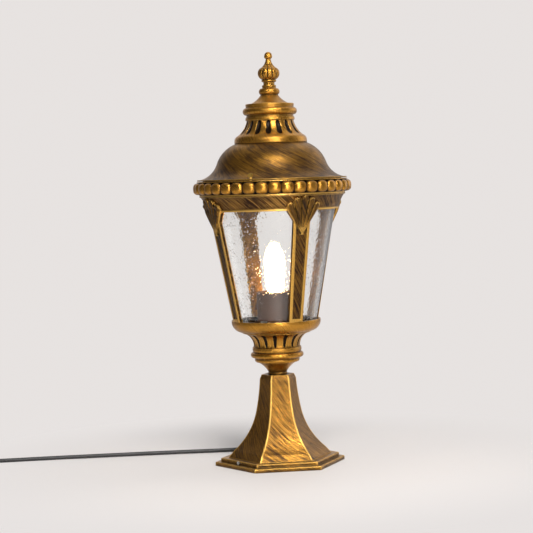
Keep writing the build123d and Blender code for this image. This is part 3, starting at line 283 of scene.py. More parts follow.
def arc_points(start, end, bulge, count):
    """Points after start on an arc that bulges to the left of the way from start to end."""
    a = Vector(start)
    b = Vector(end)
    half = (b - a).length / 2
    radius = (half * half + bulge * bulge) / (2 * abs(bulge))
    along = (b - a).normalized()
    left = Vector((-along.y, along.x))
    side = 1 if bulge > 0 else -1
    centre = (a + b) / 2 - left * side * (radius - abs(bulge))
    first = math.atan2(a.y - centre.y, a.x - centre.x)
    sweep = 2 * math.asin(min(1, half / radius))
    points = []
    for k in range(1, count + 1):
        angle = first - side * sweep * k / count
        points.append((centre.x + radius * math.cos(angle), centre.y + radius * math.sin(angle)))
    return points


def profile(*steps, fineness=0.6):
    """Points (radius, height) in millimetres; a third number makes the step an arc with that bulge."""
    points = [steps[0][:2]]
    for step in steps[1:]:
        start = points[-1]
        length = math.dist(start, step[:2])
        if len(step) == 3:
            count = max(3, round(length / fineness))
            points += arc_points(start, step[:2], step[2], count)
        else:
            count = max(1, round(length / STRAIGHT_STEP))
            wide = step[0] - start[0]
            high = step[1] - start[1]
            for k in range(1, count + 1):
                share = k / count
                points.append((start[0] + wide * share, start[1] + high * share))
    return points


def lathe(name, points, sink, segments, closed=True):
    """Turned mesh; sink(angle, radius, height, place) gives a point's depth and its share of painted
    shade.
    """
    vertices = []
    faces = []
    painted_shade = []
    count = len(points)
    for k in range(segments):
        angle = 2 * math.pi * k / segments
        for place, (radius, height) in enumerate(points):
            depth, shade_share = sink(angle, radius, height, place)
            r = radius - depth
            painted_shade.append(shade_share)
            vertices.append((r * math.sin(angle) * MM, -r * math.cos(angle) * MM, height * MM))
    steps = count if closed else count - 1
    for k in range(segments):
        here = k * count
        there = ((k + 1) % segments) * count
        for place in range(steps):
            after = (place + 1) % count
            faces.append((here + place, there + place, there + after, here + after))
    piece = new_mesh(name, vertices, faces)
    piece.data.attributes.new("painted_shade", "FLOAT", "POINT").data.foreach_set("value", painted_shade)
    weld(piece)
    piece.data.set_sharp_from_angle(angle=TURNED_SHARP_ANGLE)
    return piece


def weld(piece, distance=0.00001):
    mesh = bmesh.new()
    mesh.from_mesh(piece.data)
    bmesh.ops.remove_doubles(mesh, verts=mesh.verts, dist=distance)
    bmesh.ops.recalc_face_normals(mesh, faces=mesh.faces)
    mesh.to_mesh(piece.data)
    mesh.free()


def heights(node):
    """Lowest and highest place of a node, in millimetres."""
    low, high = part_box(node)
    return low[2] / MM, high[2] / MM


def stands_for(piece, node, body, material):
    piece.data.materials.append(material)
    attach(piece, body)
    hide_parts(node)


# Turned pieces with grooves, beads and lobes

SKIRT_FLUTES = 16
CUP_GROOVES = 16
ONION_LOBES = 12
BEAD_COUNT = 38
BEAD_TURN = math.radians(-5.6)
BEAD_CIRCLE = 88.4
BEAD_DEPTH = 7.6
BEAD_HALF_WIDTH = 8.3
BEAD_HALF_HEIGHT = 7.25
RIM_CORE = 88.6
RIM_LEDGE = 91.4
RIM_BORE = 72.0
SCREW_HEAD_PROUD = 0.05
ROD_BORE = 3.1


def nearest_offset(angle, count, first=0.0):
    """Angle from the nearest of some evenly spread marks."""
    step = 2 * math.pi / count
    return (angle - first + step / 2) % step - step / 2


def slot_depth(across, height, low, high, half_low, half_high, depth):
    """Depth of an upright groove with round ends, flat in the middle and steep at its sides."""
    start = low + half_low
    end = high - half_high
    share = min(1.0, max(0.0, (height - start) / (end - start)))
    half = half_low + (half_high - half_low) * share
    beyond = max(0.0, start - height, height - end)
    away = math.hypot(across, beyond) / half
    return depth * math.sqrt(1 - away ** 4) if away < 1 else 0.0


def make_skirt(material):
    low, high = heights("crown_skirt")
    band_top = low + 10.4
    throat = high - 4.0
    depth = 2.2
    outline = profile(
        (ROD_BORE, high),
        (29.2, high),
        (29.8, high - 0.6, 0.15),
        (29.8, throat + 0.9),
        (28.4, throat),
        (39.0, band_top, -1.7),
        (39.8, band_top - 0.5, 0.2),
        (44.0, low + 2.6, 1.4),
        (43.6, low, 0.3),
        (40.4, low),
        (24.8, throat),
        (ROD_BORE, throat),
    )

    def sink(angle, radius, height, place):
        if radius < 28.0 or not band_top <= height <= throat:
            return 0.0, 0.0
        off = nearest_offset(angle, SKIRT_FLUTES, math.pi / SKIRT_FLUTES)
        across = radius * abs(off)
        groove = slot_depth(across, height, band_top + 0.3, throat - 0.2, 3.5, 2.5, depth)
        # The second value is painted shade, darkest down the middle of each flute
        return groove, groove / depth

    piece = lathe("fluted_skirt", outline, sink, segments=576)
    stands_for(piece, "crown_skirt", "roof", material)


def make_cup(material):
    low, high = heights("cup")
    rim = high - 1.6
    depth = 1.9
    soften = 0.9
    outline = profile(
        (20.0, high),
        (41.6, high),
        (42.0, high - 0.4, 0.1),
        (40.0, rim, 0.5),
        (28.3, low, -3.4),
        (20.0, low),
    )

    def sink(angle, radius, height, place):
        if radius < 22.0 or height >= rim:
            return 0.0, 0.0
        off = nearest_offset(angle, CUP_GROOVES, math.pi / CUP_GROOVES)
        across = radius * abs(off)
        rib = radius * math.pi / CUP_GROOVES
        groove = slot_depth(across, height, low + 0.8, rim - 0.2, 1.4, 2.5, depth)
        inward = min(1.0, max(0.0, rib - across) / rib)
        round_off = soften * min(1.0, (height - low) / 3.0) * (1 - inward ** 0.5)
        # The second value is painted shade down each groove
        return max(groove, round_off), groove / depth

    piece = lathe("fluted_cup", outline, sink, segments=576)
    stands_for(piece, "cup", "lantern", material)


def make_finial(material):
    low, high = heights("finial")
    ring_low = low + 2.0
    ring_top = ring_low + 3.0
    belly = low + 13.2
    belly_radius = 13.2
    ball = 4.7
    neck = 2.7
    ball_foot = high - ball - math.sqrt(ball ** 2 - neck ** 2)
    lobes_top = ball_foot - 0.5
    bore_top = low + 13.0
    outline = profile(
        (0.0, bore_top),
        (ROD_BORE, bore_top),
        (ROD_BORE, low),
        (6.8, low),
        (6.8, ring_low),
        (9.1, (ring_low + ring_top) / 2, -0.5),
        (8.0, ring_top, -0.3),
        (belly_radius, belly, -1.6),
        (9.2, belly + 6.2, -1.0),
        (neck + 0.5, ball_foot - 0.8, 1.2),
        (neck, ball_foot),
        (ball, high - ball, -1.0),
        (0.0, high, -0.2929 * ball),
        fineness=0.35,
    )

    def sink(angle, radius, height, place):
        if radius < 3.0 or not ring_top < height < lobes_top:
            return 0.0, 0.0
        fade = min(1.0, (height - ring_top) / 2.0, (lobes_top - height) / 5.0)
        off = abs(nearest_offset(angle, ONION_LOBES)) * ONION_LOBES / math.pi
        groove = fade * (1 - math.sqrt(max(0.0, 1 - off ** 3)))
        # The second value is painted shade in the grooves between the lobes
        return 1.6 * groove * radius / belly_radius, 0.55 * groove

    piece = lathe("lobed_finial", outline, sink, segments=288, closed=False)
    stands_for(piece, "finial", "roof", material)


def bead_face(angle, height, middle):
    """Distance of the beads' surface from the axis."""
    across = BEAD_CIRCLE * nearest_offset(angle, BEAD_COUNT, BEAD_TURN) / BEAD_HALF_WIDTH
    up = (height - middle) / BEAD_HALF_HEIGHT
    rest = 1 - abs(across) ** 2.4 - abs(up) ** 3.0
    return BEAD_CIRCLE + BEAD_DEPTH * rest ** (1 / 2.4) if rest > 0 else 0.0


def make_beads(material):
    low, high = heights("bead_rim")
    high -= SCREW_HEAD_PROUD
    ledge = high - 1.2
    middle = (low + ledge) / 2
    rows = 44
    wall = []
    for k in range(rows + 1):
        up = math.sin(math.pi / 2 * (2 * k / rows - 1))
        wall.append((RIM_CORE, middle + up * (ledge - low) / 2))
    inside = [(RIM_BORE, high), (RIM_BORE, low), (80.0, low)]
    ledge_face = [(RIM_LEDGE - 0.3, ledge), (RIM_LEDGE, ledge + 0.3)]
    crown = [(RIM_LEDGE, high - 0.4), (RIM_LEDGE - 0.4, high), (86.0, high), (80.0, high)]
    outline = inside + wall + ledge_face + crown
    first = len(inside)
    last = first + rows

    def sink(angle, radius, height, place):
        if not first < place < last:
            return 0.0, 0.0
        depth = min(0.0, radius - bead_face(angle, height, middle))
        # The second value is painted shade, strongest in the grooves between the beads
        return depth, max(0.0, 1 + depth / (0.75 * BEAD_DEPTH)) * 0.8

    piece = lathe("beads", outline, sink, segments=BEAD_COUNT * 22)
    stands_for(piece, "bead_rim", "lantern", material)


# Palmettes: five rounded leaves that lie on the head of each post

POST_TURNS = [math.radians(18.8 + 90 * k) for k in range(4)]
LEAF_LENGTHS = (41.0, 43.6, 45.4, 43.6, 41.0)
LEAF_SPREAD = 13.5
LEAF_HALF_ANGLE = 5.9
LEAF_CROWN = 1.5
LEAF_FOOT = 0.9
LEAF_START = 2.0
FAN_DROP = 28.5


def leaf_base(height, frieze_low):
    """Distance of the palmette's flat face from the axis, at a height."""
    places = [
        (frieze_low - FAN_DROP, 76.2),
        (frieze_low, 83.5),
        (frieze_low + 2.6, 83.5),
        (frieze_low + 6.6, 85.7),
        (frieze_low + 12.0, 87.3),
        (frieze_low + 18.0, 90.1),
    ]
    for (z0, r0), (z1, r1) in zip(places, places[1:]):
        if height <= z1:
            return r0 + (r1 - r0) * (height - z0) / (z1 - z0)
    return places[-1][1]


def leaf_half_width(reach, length):
    """Half the width of a leaf at a distance from its root, with a round end."""
    lean = math.radians(LEAF_HALF_ANGLE)
    centre = length / (1 + math.sin(lean))
    round_radius = centre * math.sin(lean)
    if reach < centre - round_radius * math.sin(lean):
        return reach * math.tan(lean)
    return math.sqrt(max(0.0, round_radius ** 2 - (reach - centre) ** 2))


def add_leaf(vertices, faces, painted_shade, turn, angle, length, frieze_low):
    """One closed leaf: an arched top over a foot that is let into the post."""
    root = frieze_low - FAN_DROP
    rows = 26
    columns = 10
    start = len(vertices)
    for layer in (1, 0):
        for row in range(rows + 1):
            share = row / rows
            reach = LEAF_START + (length - LEAF_START) * math.sin(share * math.pi / 2)
            half = leaf_half_width(reach, length)
            for column in range(columns + 1):
                across = math.sin((column / columns - 0.5) * math.pi)
                x = reach * math.sin(angle) + across * half * math.cos(angle)
                z = root + reach * math.cos(angle) - across * half * math.sin(angle)
                arch = math.sqrt(max(0.0, 1 - across * across)) * min(1.0, half / 3.0) * LEAF_CROWN
                r = leaf_base(z, frieze_low) - LEAF_FOOT + (0.5 + arch if layer else -0.6)
                y = -math.sqrt(r * r - x * x)
                turned_x = x * math.cos(turn) - y * math.sin(turn)
                turned_y = x * math.sin(turn) + y * math.cos(turn)
                vertices.append((turned_x * MM, turned_y * MM, z * MM))
                # Painted shade on the leaf's top, darkest along its middle and fading to its edges and
                # thin ends; a fixed share on its underside
                painted_shade.append(0.42 * (1 - across ** 4) * min(1.0, 0.5 * half) if layer else 0.3)
    width = columns + 1
    lower = start + (rows + 1) * width
    for row in range(rows):
        for column in range(columns):
            a = row * width + column
            faces.append((start + a, start + a + 1, start + a + width + 1, start + a + width))
            faces.append((lower + a, lower + a + width, lower + a + width + 1, lower + a + 1))
    rim = [(row, 0) for row in range(rows + 1)] + [(rows, c) for c in range(1, columns + 1)]
    rim += [(row, columns) for row in range(rows - 1, -1, -1)]
    rim += [(0, c) for c in range(columns - 1, 0, -1)]
    for (r0, c0), (r1, c1) in zip(rim, rim[1:] + rim[:1]):
        a = r0 * width + c0
        b = r1 * width + c1
        faces.append((start + a, start + b, lower + b, lower + a))


def make_palmettes(material):
    frieze_low = heights("frieze")[0]
    for number, turn in enumerate(POST_TURNS, 1):
        vertices = []
        faces = []
        painted_shade = []
        for k, length in enumerate(LEAF_LENGTHS):
            angle = math.radians((k - 2) * LEAF_SPREAD)
            add_leaf(vertices, faces, painted_shade, turn, angle, length, frieze_low)
        piece = new_mesh(f"palmette_{number}", vertices, faces)
        piece.data.attributes.new("painted_shade", "FLOAT", "POINT").data.foreach_set("value", painted_shade)
        weld(piece, 0.000002)
        piece.data.set_sharp_from_angle(angle=LEAF_SHARP_ANGLE)
        piece.data.materials.append(material)
        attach(piece, "lantern")


# Material helpers


class Nodes:
    """Short way to build a material's nodes."""

    def __init__(self, name):
        self.material = bpy.data.materials.new(name)
        self.material.use_nodes = True
        self.tree = self.material.node_tree
        self.tree.nodes.clear()
        self.output = self.add("ShaderNodeOutputMaterial")

    def add(self, kind, **settings):
        node = self.tree.nodes.new(kind)
        for key, value in settings.items():
            setattr(node, key, value)
        return node

    def link(self, source, target):
        self.tree.links.new(source, target)

    def set(self, socket, value):
        if isinstance(value, bpy.types.NodeSocket):
            self.link(value, socket)
        else:
            socket.default_value = value

    def math(self, operation, a, b=0.0, clamp=False):
        node = self.add("ShaderNodeMath", operation=operation, use_clamp=clamp)
        self.set(node.inputs[0], a)
        self.set(node.inputs[1], b)
        return node.outputs[0]

    def place(self):
        return self.add("ShaderNodeTexCoord").outputs["Object"]

    def noise(self, vector, scale, detail=2.0, roughness=0.5):
        node = self.add("ShaderNodeTexNoise")
        self.link(vector, node.inputs["Vector"])
        node.inputs["Scale"].default_value = scale
        node.inputs["Detail"].default_value = detail
        node.inputs["Roughness"].default_value = roughness
        return node.outputs["Fac"]

    def stretch(self, vector, scale):
        node = self.add("ShaderNodeMapping")
        self.link(vector, node.inputs["Vector"])
        node.inputs["Scale"].default_value = scale
        return node.outputs["Vector"]

    def between(self, value, low, high):
        """0 below low, 1 above high, smooth between."""
        node = self.add("ShaderNodeMapRange", interpolation_type="SMOOTHSTEP")
        self.link(value, node.inputs["Value"])
        node.inputs["From Min"].default_value = low
        node.inputs["From Max"].default_value = high
        return node.outputs["Result"]

    def mix(self, share, first, second):
        node = self.add("ShaderNodeMix", data_type="RGBA")
        self.set(node.inputs["Factor"], share)
        for socket, value in ((node.inputs[6], first), (node.inputs[7], second)):
            self.set(socket, value if isinstance(value, bpy.types.NodeSocket) else (*value, 1))
        return node.outputs[2]

    def bump(self, height, distance, strength=1.0, normal=None):
        node = self.add("ShaderNodeBump")
        self.link(height, node.inputs["Height"])
        node.inputs["Distance"].default_value = distance
        node.inputs["Strength"].default_value = strength
        if normal is not None:
            self.link(normal, node.inputs["Normal"])
        return node.outputs["Normal"]

    def principled(self, **inputs):
        shader = self.add("ShaderNodeBsdfPrincipled")
        for key, value in inputs.items():
            self.set(shader.inputs[key.replace("_", " ")], value)
        return shader

    def finish(self, shader):
        self.link(shader.outputs[0], self.output.inputs["Surface"])
        return self.material


# Antique gold: gold brushed over dark brown paint, with painted shade in recesses and brighter edges

POST_CONE = (0.0542, 0.176, 0.1955)
GOLD = (0.50, 0.240, 0.036)
ROOF_GOLD = (0.46, 0.225, 0.030)
FRIEZE_GOLD = (0.46, 0.235, 0.055)
# Brighter gold for sharp edges, partly worn gold and partly painted highlight, and for the posts' gilt
# border
BRIGHT_GOLD = (0.80, 0.47, 0.11)
DARK_BROWN = (0.020, 0.008, 0.003)
# Near-black painted shade for recesses and grooves
RECESS_SHADE = (0.010, 0.005, 0.002)


def brushed_path(n, twist, fine, length):
    """Coordinates in which brush strokes run round the axis and climb; twist is in radians a metre."""
    place = n.place()
    split = n.add("ShaderNodeSeparateXYZ")
    n.link(place, split.inputs[0])
    flat = n.add("ShaderNodeVectorMath", operation="MULTIPLY")
    n.link(place, flat.inputs[0])
    flat.inputs[1].default_value = (1, 1, 0)
    around = n.add("ShaderNodeVectorMath", operation="NORMALIZE")
    n.link(flat.outputs[0], around.inputs[0])
    turn = n.add("ShaderNodeVectorRotate", rotation_type="Z_AXIS")
    n.link(around.outputs[0], turn.inputs["Vector"])
    n.link(n.math("MULTIPLY", split.outputs["Z"], twist), turn.inputs["Angle"])
    wide = n.add("ShaderNodeVectorMath", operation="SCALE")
    n.link(turn.outputs["Vector"], wide.inputs[0])
    wide.inputs["Scale"].default_value = fine
    rise = n.add("ShaderNodeCombineXYZ")
    n.link(n.math("MULTIPLY", split.outputs["Z"], length), rise.inputs["Z"])
    add = n.add("ShaderNodeVectorMath", operation="ADD")
    n.link(wide.outputs[0], add.inputs[0])
    n.link(rise.outputs[0], add.inputs[1])
    return add.outputs[0]


def edge_wear_and_highlight(n, radius, edge):
    """Share of bright metal on the sharp edges, partly worn gold and partly painted highlight, and the
    softened normal.
    """
    soft = n.add("ShaderNodeBevel", samples=4)
    soft.inputs["Radius"].default_value = radius
    geometry = n.add("ShaderNodeNewGeometry")
    dot = n.add("ShaderNodeVectorMath", operation="DOT_PRODUCT")
    n.link(soft.outputs["Normal"], dot.inputs[0])
    n.link(geometry.outputs["Normal"], dot.inputs[1])
    share = n.between(n.math("SUBTRACT", 1.0, dot.outputs["Value"]), 0.004, 0.09)
    return n.math("MULTIPLY", share, edge), soft.outputs["Normal"]


def cone_depth(n, radius, height, slope):
    """How far the surface lies inside a cone about the axis, in metres."""
    place = n.place()
    split = n.add("ShaderNodeSeparateXYZ")
    n.link(place, split.inputs[0])
    flat = n.add("ShaderNodeVectorMath", operation="MULTIPLY")
    n.link(place, flat.inputs[0])
    flat.inputs[1].default_value = (1, 1, 0)
    reach = n.add("ShaderNodeVectorMath", operation="LENGTH")
    n.link(flat.outputs[0], reach.inputs[0])
    outer = n.math("ADD", n.math("MULTIPLY", split.outputs["Z"], slope), radius - height * slope)
    return n.math("SUBTRACT", outer, reach.outputs["Value"])


def height_band(n, low, high):
    """1 between two heights, in metres, 0 outside."""
    split = n.add("ShaderNodeSeparateXYZ")
    n.link(n.place(), split.inputs[0])
    above = n.between(split.outputs["Z"], low - 0.0003, low + 0.0003)
    below = n.between(split.outputs["Z"], high - 0.0003, high + 0.0003)
    return n.math("SUBTRACT", above, below)


def antique_gold(name, cover, streak, twist, edge=0.8, tone=GOLD, fine=110.0, length=60.0,
                 scratches=0.0, shade=None, gild_and_highlight=None, painted_shade=0.007, alone=False):
    """cover is the share of gold, streak how strongly the brush shows, twist its slant."""
    n = Nodes(name)
    brush = n.noise(brushed_path(n, twist, fine, length), 1.0, 4.0, 0.65)
    broad = n.noise(brushed_path(n, twist, fine * 0.4, length * 0.4), 1.0, 2.0, 0.5)
    cloud = n.noise(n.place(), 30.0, 3.0, 0.6)
    mixed = n.math("MULTIPLY", brush, 0.62 * streak)
    mixed = n.math("ADD", mixed, n.math("MULTIPLY", broad, 0.38 * streak))
    mixed = n.math("ADD", mixed, n.math("MULTIPLY", cloud, 0.20))
    level = 0.5 * streak + 0.10 + 0.28 * (0.5 - cover)
    share = n.between(mixed, level - 0.085, level + 0.075)
    if scratches:
        lines = n.noise(brushed_path(n, twist, fine * 0.42, length * 0.35), 1.0, 1.0, 0.4)
        ridge = n.math("ABSOLUTE", n.math("SUBTRACT", lines, 0.5))
        line = n.math("SUBTRACT", 1.0, n.between(ridge, 0.006, 0.045))
        patchy = n.between(cloud, 0.38, 0.56)
        bare = n.math("MULTIPLY", n.math("MULTIPLY", line, patchy), scratches)
        share = n.math("SUBTRACT", share, bare, clamp=True)
    if shade is not None:
        share = n.math("SUBTRACT", share, shade(n), clamp=True)
    # Brighter gold on sharp edges, partly worn gold and partly painted highlight, joined by the extra
    # bright marks passed in
    wear_and_highlight, soft = edge_wear_and_highlight(n, 0.0014, edge)
    if gild_and_highlight is not None:
        wear_and_highlight = n.math("MAXIMUM", wear_and_highlight, gild_and_highlight(n))
    # Painted shade: recesses found by ambient occlusion within the given reach turn near-black and less
    # metallic, and so do the grooves and leaf faces marked in the mesh attribute
    hollow = n.add("ShaderNodeAmbientOcclusion", samples=8, only_local=alone)
    hollow.inputs["Distance"].default_value = painted_shade
    shade_share = n.add("ShaderNodeAttribute", attribute_name="painted_shade")
    clear = n.between(n.math("SUBTRACT", hollow.outputs["AO"], shade_share.outputs["Fac"]), 0.34, 0.96)
    colour = n.mix(share, DARK_BROWN, tone)
    colour = n.mix(wear_and_highlight, colour, BRIGHT_GOLD)
    colour = n.mix(clear, RECESS_SHADE, colour)
    rough = n.math("SUBTRACT", 0.42, n.math("MULTIPLY", share, 0.15))
    metal = n.math("ADD", 0.50, n.math("MULTIPLY", n.math("MULTIPLY", share, clear), 0.46))
    normal = n.bump(brush, 0.0003, 0.6, soft)
    shader = n.principled(
        Base_Color=colour, Metallic=metal, Roughness=rough, Normal=normal, Specular_IOR_Level=0.2)
    return n.finish(shader)


def speckled(name, colour, roughness, metallic=0.0, grain=900.0, contrast=0.25, bump=0.00004):
    """Moulded or plated surface with a fine grain and slight changes of tone."""
    n = Nodes(name)
    tone = n.noise(n.place(), 60.0, 3.0)
    fine = n.noise(n.place(), grain, 2.0)
    dark = tuple(c * (1 - contrast) for c in colour)
    base = n.mix(tone, dark, tuple(min(1, c * (1 + contrast)) for c in colour))
    rough = n.math("ADD", roughness - 0.06, n.math("MULTIPLY", tone, 0.12))
    normal = n.bump(fine, bump)
    return n.finish(n.principled(Base_Color=base, Metallic=metallic, Roughness=rough, Normal=normal))


def seeded_glass():
    n = Nodes("seeded_glass")
    place = n.place()
    cells = n.add("ShaderNodeTexVoronoi", feature="F1")
    n.link(n.stretch(place, (1.0, 1.0, 0.7)), cells.inputs["Vector"])
    cells.inputs["Scale"].default_value = 330.0
    seeds = n.math("SUBTRACT", 1.0, n.between(cells.outputs["Distance"], 0.06, 0.24))
    patch = n.between(n.noise(place, 30.0, 3.0, 0.6), 0.44, 0.60)
    fine = n.noise(n.stretch(place, (1.0, 1.0, 0.7)), 380.0, 1.0, 0.5)
    raised = n.math("MULTIPLY", n.math("MULTIPLY", seeds, patch), 0.60)
    height = n.math("ADD", raised, n.math("MULTIPLY", fine, 0.17))
    normal = n.bump(height, 0.0010, 0.5)
    shader = n.principled(
        Base_Color=(0.985, 0.99, 0.985, 1), Roughness=0.01, IOR=1.45, Transmission_Weight=1.0,
        Normal=normal)
    clear = n.add("ShaderNodeBsdfTransparent")
    clear.inputs["Color"].default_value = (0.94, 0.95, 0.94, 1)
    ray = n.add("ShaderNodeLightPath")
    mix = n.add("ShaderNodeMixShader")
    n.link(ray.outputs["Is Shadow Ray"], mix.inputs[0])
    n.link(shader.outputs[0], mix.inputs[1])
    n.link(clear.outputs[0], mix.inputs[2])
    return n.finish(mix)


def glow(name, colour, strength, base):
    """Surface that gives light, with slight unevenness."""
    n = Nodes(name)
    tone = n.noise(n.place(), 120.0, 2.0)
    shade = n.mix(tone, tuple(c * 0.92 for c in colour), colour)
    shader = n.principled(
        Base_Color=(*base, 1), Roughness=0.2, Emission_Color=shade, Emission_Strength=strength)
    return n.finish(shader)


def plain_wire(name, colour):
    return speckled(name, colour, 0.4, grain=1500.0, contrast=0.12)


def cable_material():
    n = Nodes("cable_rubber")
    fine = n.noise(n.place(), 1400.0, 2.0)
    tone = n.noise(n.place(), 45.0, 2.0)
    base = n.mix(tone, (0.012, 0.012, 0.013), (0.030, 0.030, 0.032))
    normal = n.bump(fine, 0.00005)
    return n.finish(n.principled(Base_Color=base, Roughness=0.42, Specular_IOR_Level=0.55, Normal=normal))


def paint(node_names, material):
    for name in node_names:
        piece = nodes[name]
        piece.data.materials.clear()
        piece.data.materials.append(material)


def arrises(n):
    """Bright lines along the corners of the hexagonal pedestal and foot: partly worn gold, partly painted
    highlight.
    """
    split = n.add("ShaderNodeSeparateXYZ")
    n.link(n.place(), split.inputs[0])
    angle = n.math("ARCTAN2", split.outputs["Y"], split.outputs["X"])
    off = n.math("PINGPONG", angle, math.pi / 6)
    squares = [n.math("POWER", split.outputs[axis], 2.0) for axis in "XY"]
    reach = n.math("SQRT", n.math("ADD", *squares))
    away = n.between(n.math("MULTIPLY", off, reach), 0.0005, 0.0017)
    return n.math("MULTIPLY", n.math("SUBTRACT", 1.0, away), 0.8)


def post_border(n):
    """Brighter gold on the posts' raised border."""
    flat = n.math("SUBTRACT", 1.0, n.between(cone_depth(n, *POST_CONE), 0.0001, 0.0005))
    return n.math("MULTIPLY", flat, 0.5)


def post_panel(n):
    """Darker where the posts' panel lies sunk, lighter on the raised border."""
    depth = cone_depth(n, *POST_CONE)
    deep = n.math("SUBTRACT", 1.0, n.between(depth, 0.0035, 0.0045))
    return n.math("MULTIPLY", n.math("MULTIPLY", n.between(depth, 0.0004, 0.0008), deep), 0.7)


def frieze_edges(n):
    """Bright lower edge and crown of the frieze: partly worn gold, partly painted highlight."""
    low, high = heights("frieze")
    lower = height_band(n, (low - 0.5) * MM, (low + 1.8) * MM)
    crown = height_band(n, (high - 1.6) * MM, (high + 0.5) * MM)
    return n.math("MULTIPLY", n.math("ADD", lower, crown), 0.75)


TURNED_NODES = [
    "neck", "knop", "cup", "gallery", "bead_rim", "crown_skirt", "crown_collar", "finial_base", "finial",
]
STEEL_NODES = [
    "mount_plate", "foot_screws", "side_screws", "stem_tube", "stem_washer_lower", "stem_nut_lower",
    "stem_washer_upper", "stem_nut_upper", "frieze_screws", "rim_screws", "glass_clips", "clip_screws",
    "roof_rod", "roof_washer", "roof_nut", "earth_tag",
]


def paint_all():
    roof = antique_gold(
        "gold_roof", cover=0.36, streak=0.6, twist=30.0, tone=ROOF_GOLD, fine=170.0, length=150.0)
    frieze = antique_gold(
        "gold_frieze", cover=0.36, streak=0.9, twist=13.0, tone=FRIEZE_GOLD, fine=150.0, length=80.0,
        gild_and_highlight=frieze_edges, alone=True)
    moulding = antique_gold("gold_moulding", cover=0.68, streak=0.34, twist=16.0, painted_shade=0.009)
    post = antique_gold(
        "gold_post", cover=0.58, streak=0.9, twist=9.0, edge=1.0, shade=post_panel, gild_and_highlight=post_border,
        alone=True)
    leaf = antique_gold("gold_leaf", cover=0.46, streak=0.8, twist=6.0, edge=0.9, painted_shade=0.006)
    pedestal = antique_gold(
        "gold_pedestal", cover=0.46, streak=0.9, twist=30.0, fine=130.0, length=80.0, scratches=1.0,
        gild_and_highlight=arrises)
    foot = antique_gold(
        "gold_foot", cover=0.46, streak=0.7, twist=16.0, edge=1.0, fine=110.0, gild_and_highlight=arrises)
    paint(["roof_dome"], roof)
    paint(["frieze"], frieze)
    paint(["pedestal"], pedestal)
    paint(["foot"], foot)
    paint([f"cage_post_{k}" for k in range(1, 5)], post)
    paint(TURNED_NODES, moulding)
    make_skirt(moulding)
    make_cup(moulding)
    make_finial(moulding)
    make_beads(moulding)
    make_palmettes(leaf)

    steel = speckled("zinc_steel", (0.52, 0.52, 0.50), 0.38, metallic=1.0, contrast=0.12)
    paint(STEEL_NODES, steel)
    brass = speckled("brass", (0.86, 0.52, 0.12), 0.30, metallic=1.0, contrast=0.15)
    paint(["thumb_screw_1", "thumb_screw_2", "holder_shell", "holder_contact", "terminal_screws"], brass)
    nickel = speckled("nickel", (0.66, 0.62, 0.54), 0.25, metallic=1.0, contrast=0.08)
    paint(["lamp_cap", "plug_pins"], nickel)
    paint(["glass"], seeded_glass())
    paint(["lamp_envelope", "lamp_stem"], glow("lamp_glass", (1.0, 0.66, 0.30), 16.0, (1.0, 0.95, 0.85)))
    paint(["lamp_filaments"], glow("filament", (1.0, 0.86, 0.60), 30.0, (1.0, 0.9, 0.6)))
    rubber = speckled("seal_rubber", (0.02, 0.02, 0.02), 0.6)
    paint(["glass_seal_lower", "glass_seal_upper", "roof_gasket", "strain_relief"], rubber)
    cable = cable_material()
    paint(["inner_cable"], cable)
    paint(["plug_body"], speckled("plug_plastic", (0.022, 0.022, 0.023), 0.5))
    paint(["holder_sleeve"], speckled("sleeve_plastic", (0.040, 0.013, 0.004), 0.55, grain=500.0))
    paint(["lampholder"], speckled("ceramic", (0.80, 0.77, 0.70), 0.25, contrast=0.05))
    paint(["terminal_block"], speckled("block_plastic", (0.72, 0.70, 0.64), 0.4, contrast=0.06))
    paint(["live_wire"], plain_wire("live_insulation", (0.20, 0.07, 0.02)))
    paint(["neutral_wire"], plain_wire("neutral_insulation", (0.02, 0.08, 0.35)))
    paint(["earth_wire"], plain_wire("earth_insulation", (0.18, 0.38, 0.03)))
    return cable


# Stage and light

LIT_POINT = (0, 0, 0.25)
WARM_WHITE = (1.0, 0.97, 0.93)
COOL_WHITE = (0.96, 0.98, 1.0)
SKY = (0.95, 0.97, 1.0)
SKY_STRENGTH = 0.26
MIRRORED_STRENGTH = 0.10


def seen_directly(tree):
    """1 for the camera's rays and those that only passed glass, 0 for others; and the ray's own node."""
    ray = tree.nodes.new("ShaderNodeLightPath")
    earlier = tree.nodes.new("ShaderNodeMath")
    earlier.operation = "ADD"
    tree.links.new(ray.outputs["Diffuse Depth"], earlier.inputs[0])
    tree.links.new(ray.outputs["Glossy Depth"], earlier.inputs[1])
    through = tree.nodes.new("ShaderNodeMath")
    through.operation = "GREATER_THAN"
    tree.links.new(ray.outputs["Is Transmission Ray"], through.inputs[0])
    tree.links.new(earlier.outputs[0], through.inputs[1])
    either = tree.nodes.new("ShaderNodeMath")
    either.operation = "MAXIMUM"
    tree.links.new(ray.outputs["Is Camera Ray"], either.inputs[0])
    tree.links.new(through.outputs[0], either.inputs[1])
    return either.outputs[0], ray


